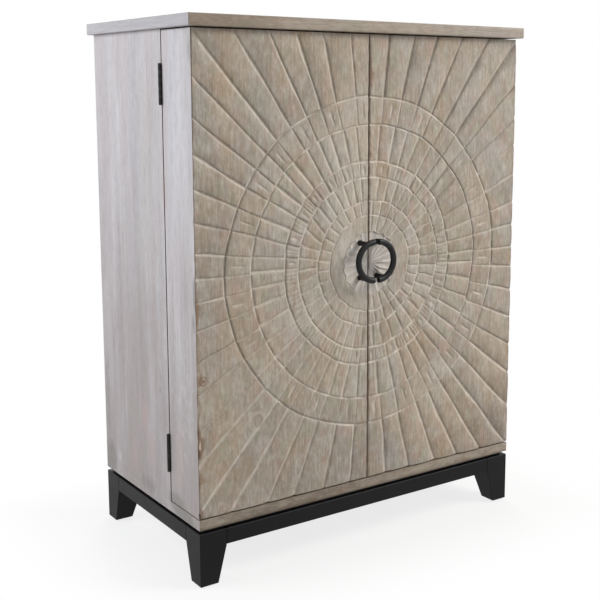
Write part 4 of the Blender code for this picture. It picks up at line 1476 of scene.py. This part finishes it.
def light_studio():
    """White to the camera and in reflections, a plain grey light on the cabinet, and three soft boxes."""
    world = bpy.data.worlds.new("studio")
    scene.world = world
    world.use_nodes = True
    tree = world.node_tree
    background = tree.nodes["Background"]
    background.inputs["Color"].default_value = (1, 1, 1, 1)
    level = Nodes(tree).background_seen() * (1 - sky_strength) + sky_strength
    tree.links.new(level.socket, background.inputs["Strength"])
    for soft_box in soft_boxes:
        add_lamp(*soft_box)


place_camera()
light_studio()
make_floor()
scene.view_settings.view_transform = "Standard"

wash_light = (197, 195, 198)
wash_dark = (173, 168, 170)
wash_streak = (145, 134, 133)
side_tints = (((186, 174, 172), 0.40), ((163, 164, 169), 0.5), ((170, 168, 160), 0.4))
pale_upright = washed_wood(
    "pale_upright_finish", 2, wash_light, wash_dark, wash_streak, stave_axis=1, tints=side_tints,
    low_darkening=0.75, marks=side_marks, threaded=0.8, blotched=1.4,
)
slab_wood = washed_wood(
    "slab_finish", 0, (166, 156, 143), (138, 126, 111), (108, 93, 77), stave_axis=1,
    tints=(((160, 132, 112), 0.4), ((132, 132, 118), 0.5)), end_grain=(176, 174, 178), casts=slab_casts,
    blotched=2.0,
)
bottom_wood = washed_wood(
    "bottom_board_finish", 0, (160, 149, 136), (132, 119, 104), (92, 77, 62), stave_axis=1,
    tints=(((150, 124, 106), 0.4), ((124, 122, 106), 0.5)), darkened_to=0.1386, casts=bottom_casts,
    blotched=2.6,
)
inner_across = washed_wood("inner_across_finish", 0, (150, 139, 124), (134, 121, 106), (108, 92, 78))
bare_wood = washed_wood("bare_edge_finish", 2, (128, 112, 96), (104, 88, 73), (84, 69, 56))
# Dark brown for the edges that face each other across the gap at the hinges: painted shade of the gap
gap_shade_edge = washed_wood("dark_edge_finish", 2, (76, 66, 60), (62, 53, 47), (48, 40, 35))
carved = carved_finish()
black_base = black_stain()
handle_metal = blackened_metal("handle_finish", (10, 11, 13), (24, 25, 27))
# The hinges' pale rubbed patches are also painted highlights on the knuckles
hinge_metal = blackened_metal("hinge_finish", (24, 23, 24), (98, 96, 96))
# Grey-brown, far lighter than the black base, so the shadowed recess under the bottom board looks less black:
# painted light
spacer_painted_light = plain_finish("spacer_painted_light_finish", (94, 88, 82), 0.7)
steel = plain_finish("steel_finish", (176, 178, 180), 0.32, 1.0)
catch_plastic = plain_finish("catch_finish", (52, 42, 34), 0.5)
glide_plastic = plain_finish("glide_finish", (198, 198, 196), 0.45)

for node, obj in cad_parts.items():
    if node.startswith("base_"):
        look = spacer_painted_light if node == "base_spacer" else black_base
    elif "hinge" in node:
        look = hinge_metal
    elif "strike" in node:
        look = steel
    elif node.startswith("catch"):
        look = catch_plastic
    elif node.startswith("foot_glide"):
        look = glide_plastic
    elif node in ("side_panel_left", "side_panel_right", "back_panel") or "_side" in node:
        look = pale_upright
    elif node in ("top_slab", "bottom_board"):
        look = slab_wood if node == "top_slab" else bottom_wood
    else:
        look = inner_across
    obj.data.materials.clear()
    obj.data.materials.append(look)

board_piece("top_slab", "cabinet", 0.0024, slab_wood)
board_piece("bottom_board", "cabinet", 0.0004, bottom_wood, ends=pale_upright)
for side in ("left", "right"):
    board_piece(f"side_panel_{side}", "cabinet", 0.0006, pale_upright, ("-z",), front=gap_shade_edge)
for door in ("left_door", "right_door"):
    board_piece(f"{door}_outer_side", door, 0.0006, pale_upright, ("-y",), back=gap_shade_edge)
    board_piece(f"{door}_meeting_side", door, 0.0006, bare_wood, ("-y",))
    carved_panel(door, carved, pale_upright, bare_wood)
    ring_handle(door, handle_metal)

for door in ("left_door", "right_door"):
    hinge_screws(door)
    pin_domes(door)
back_screws()
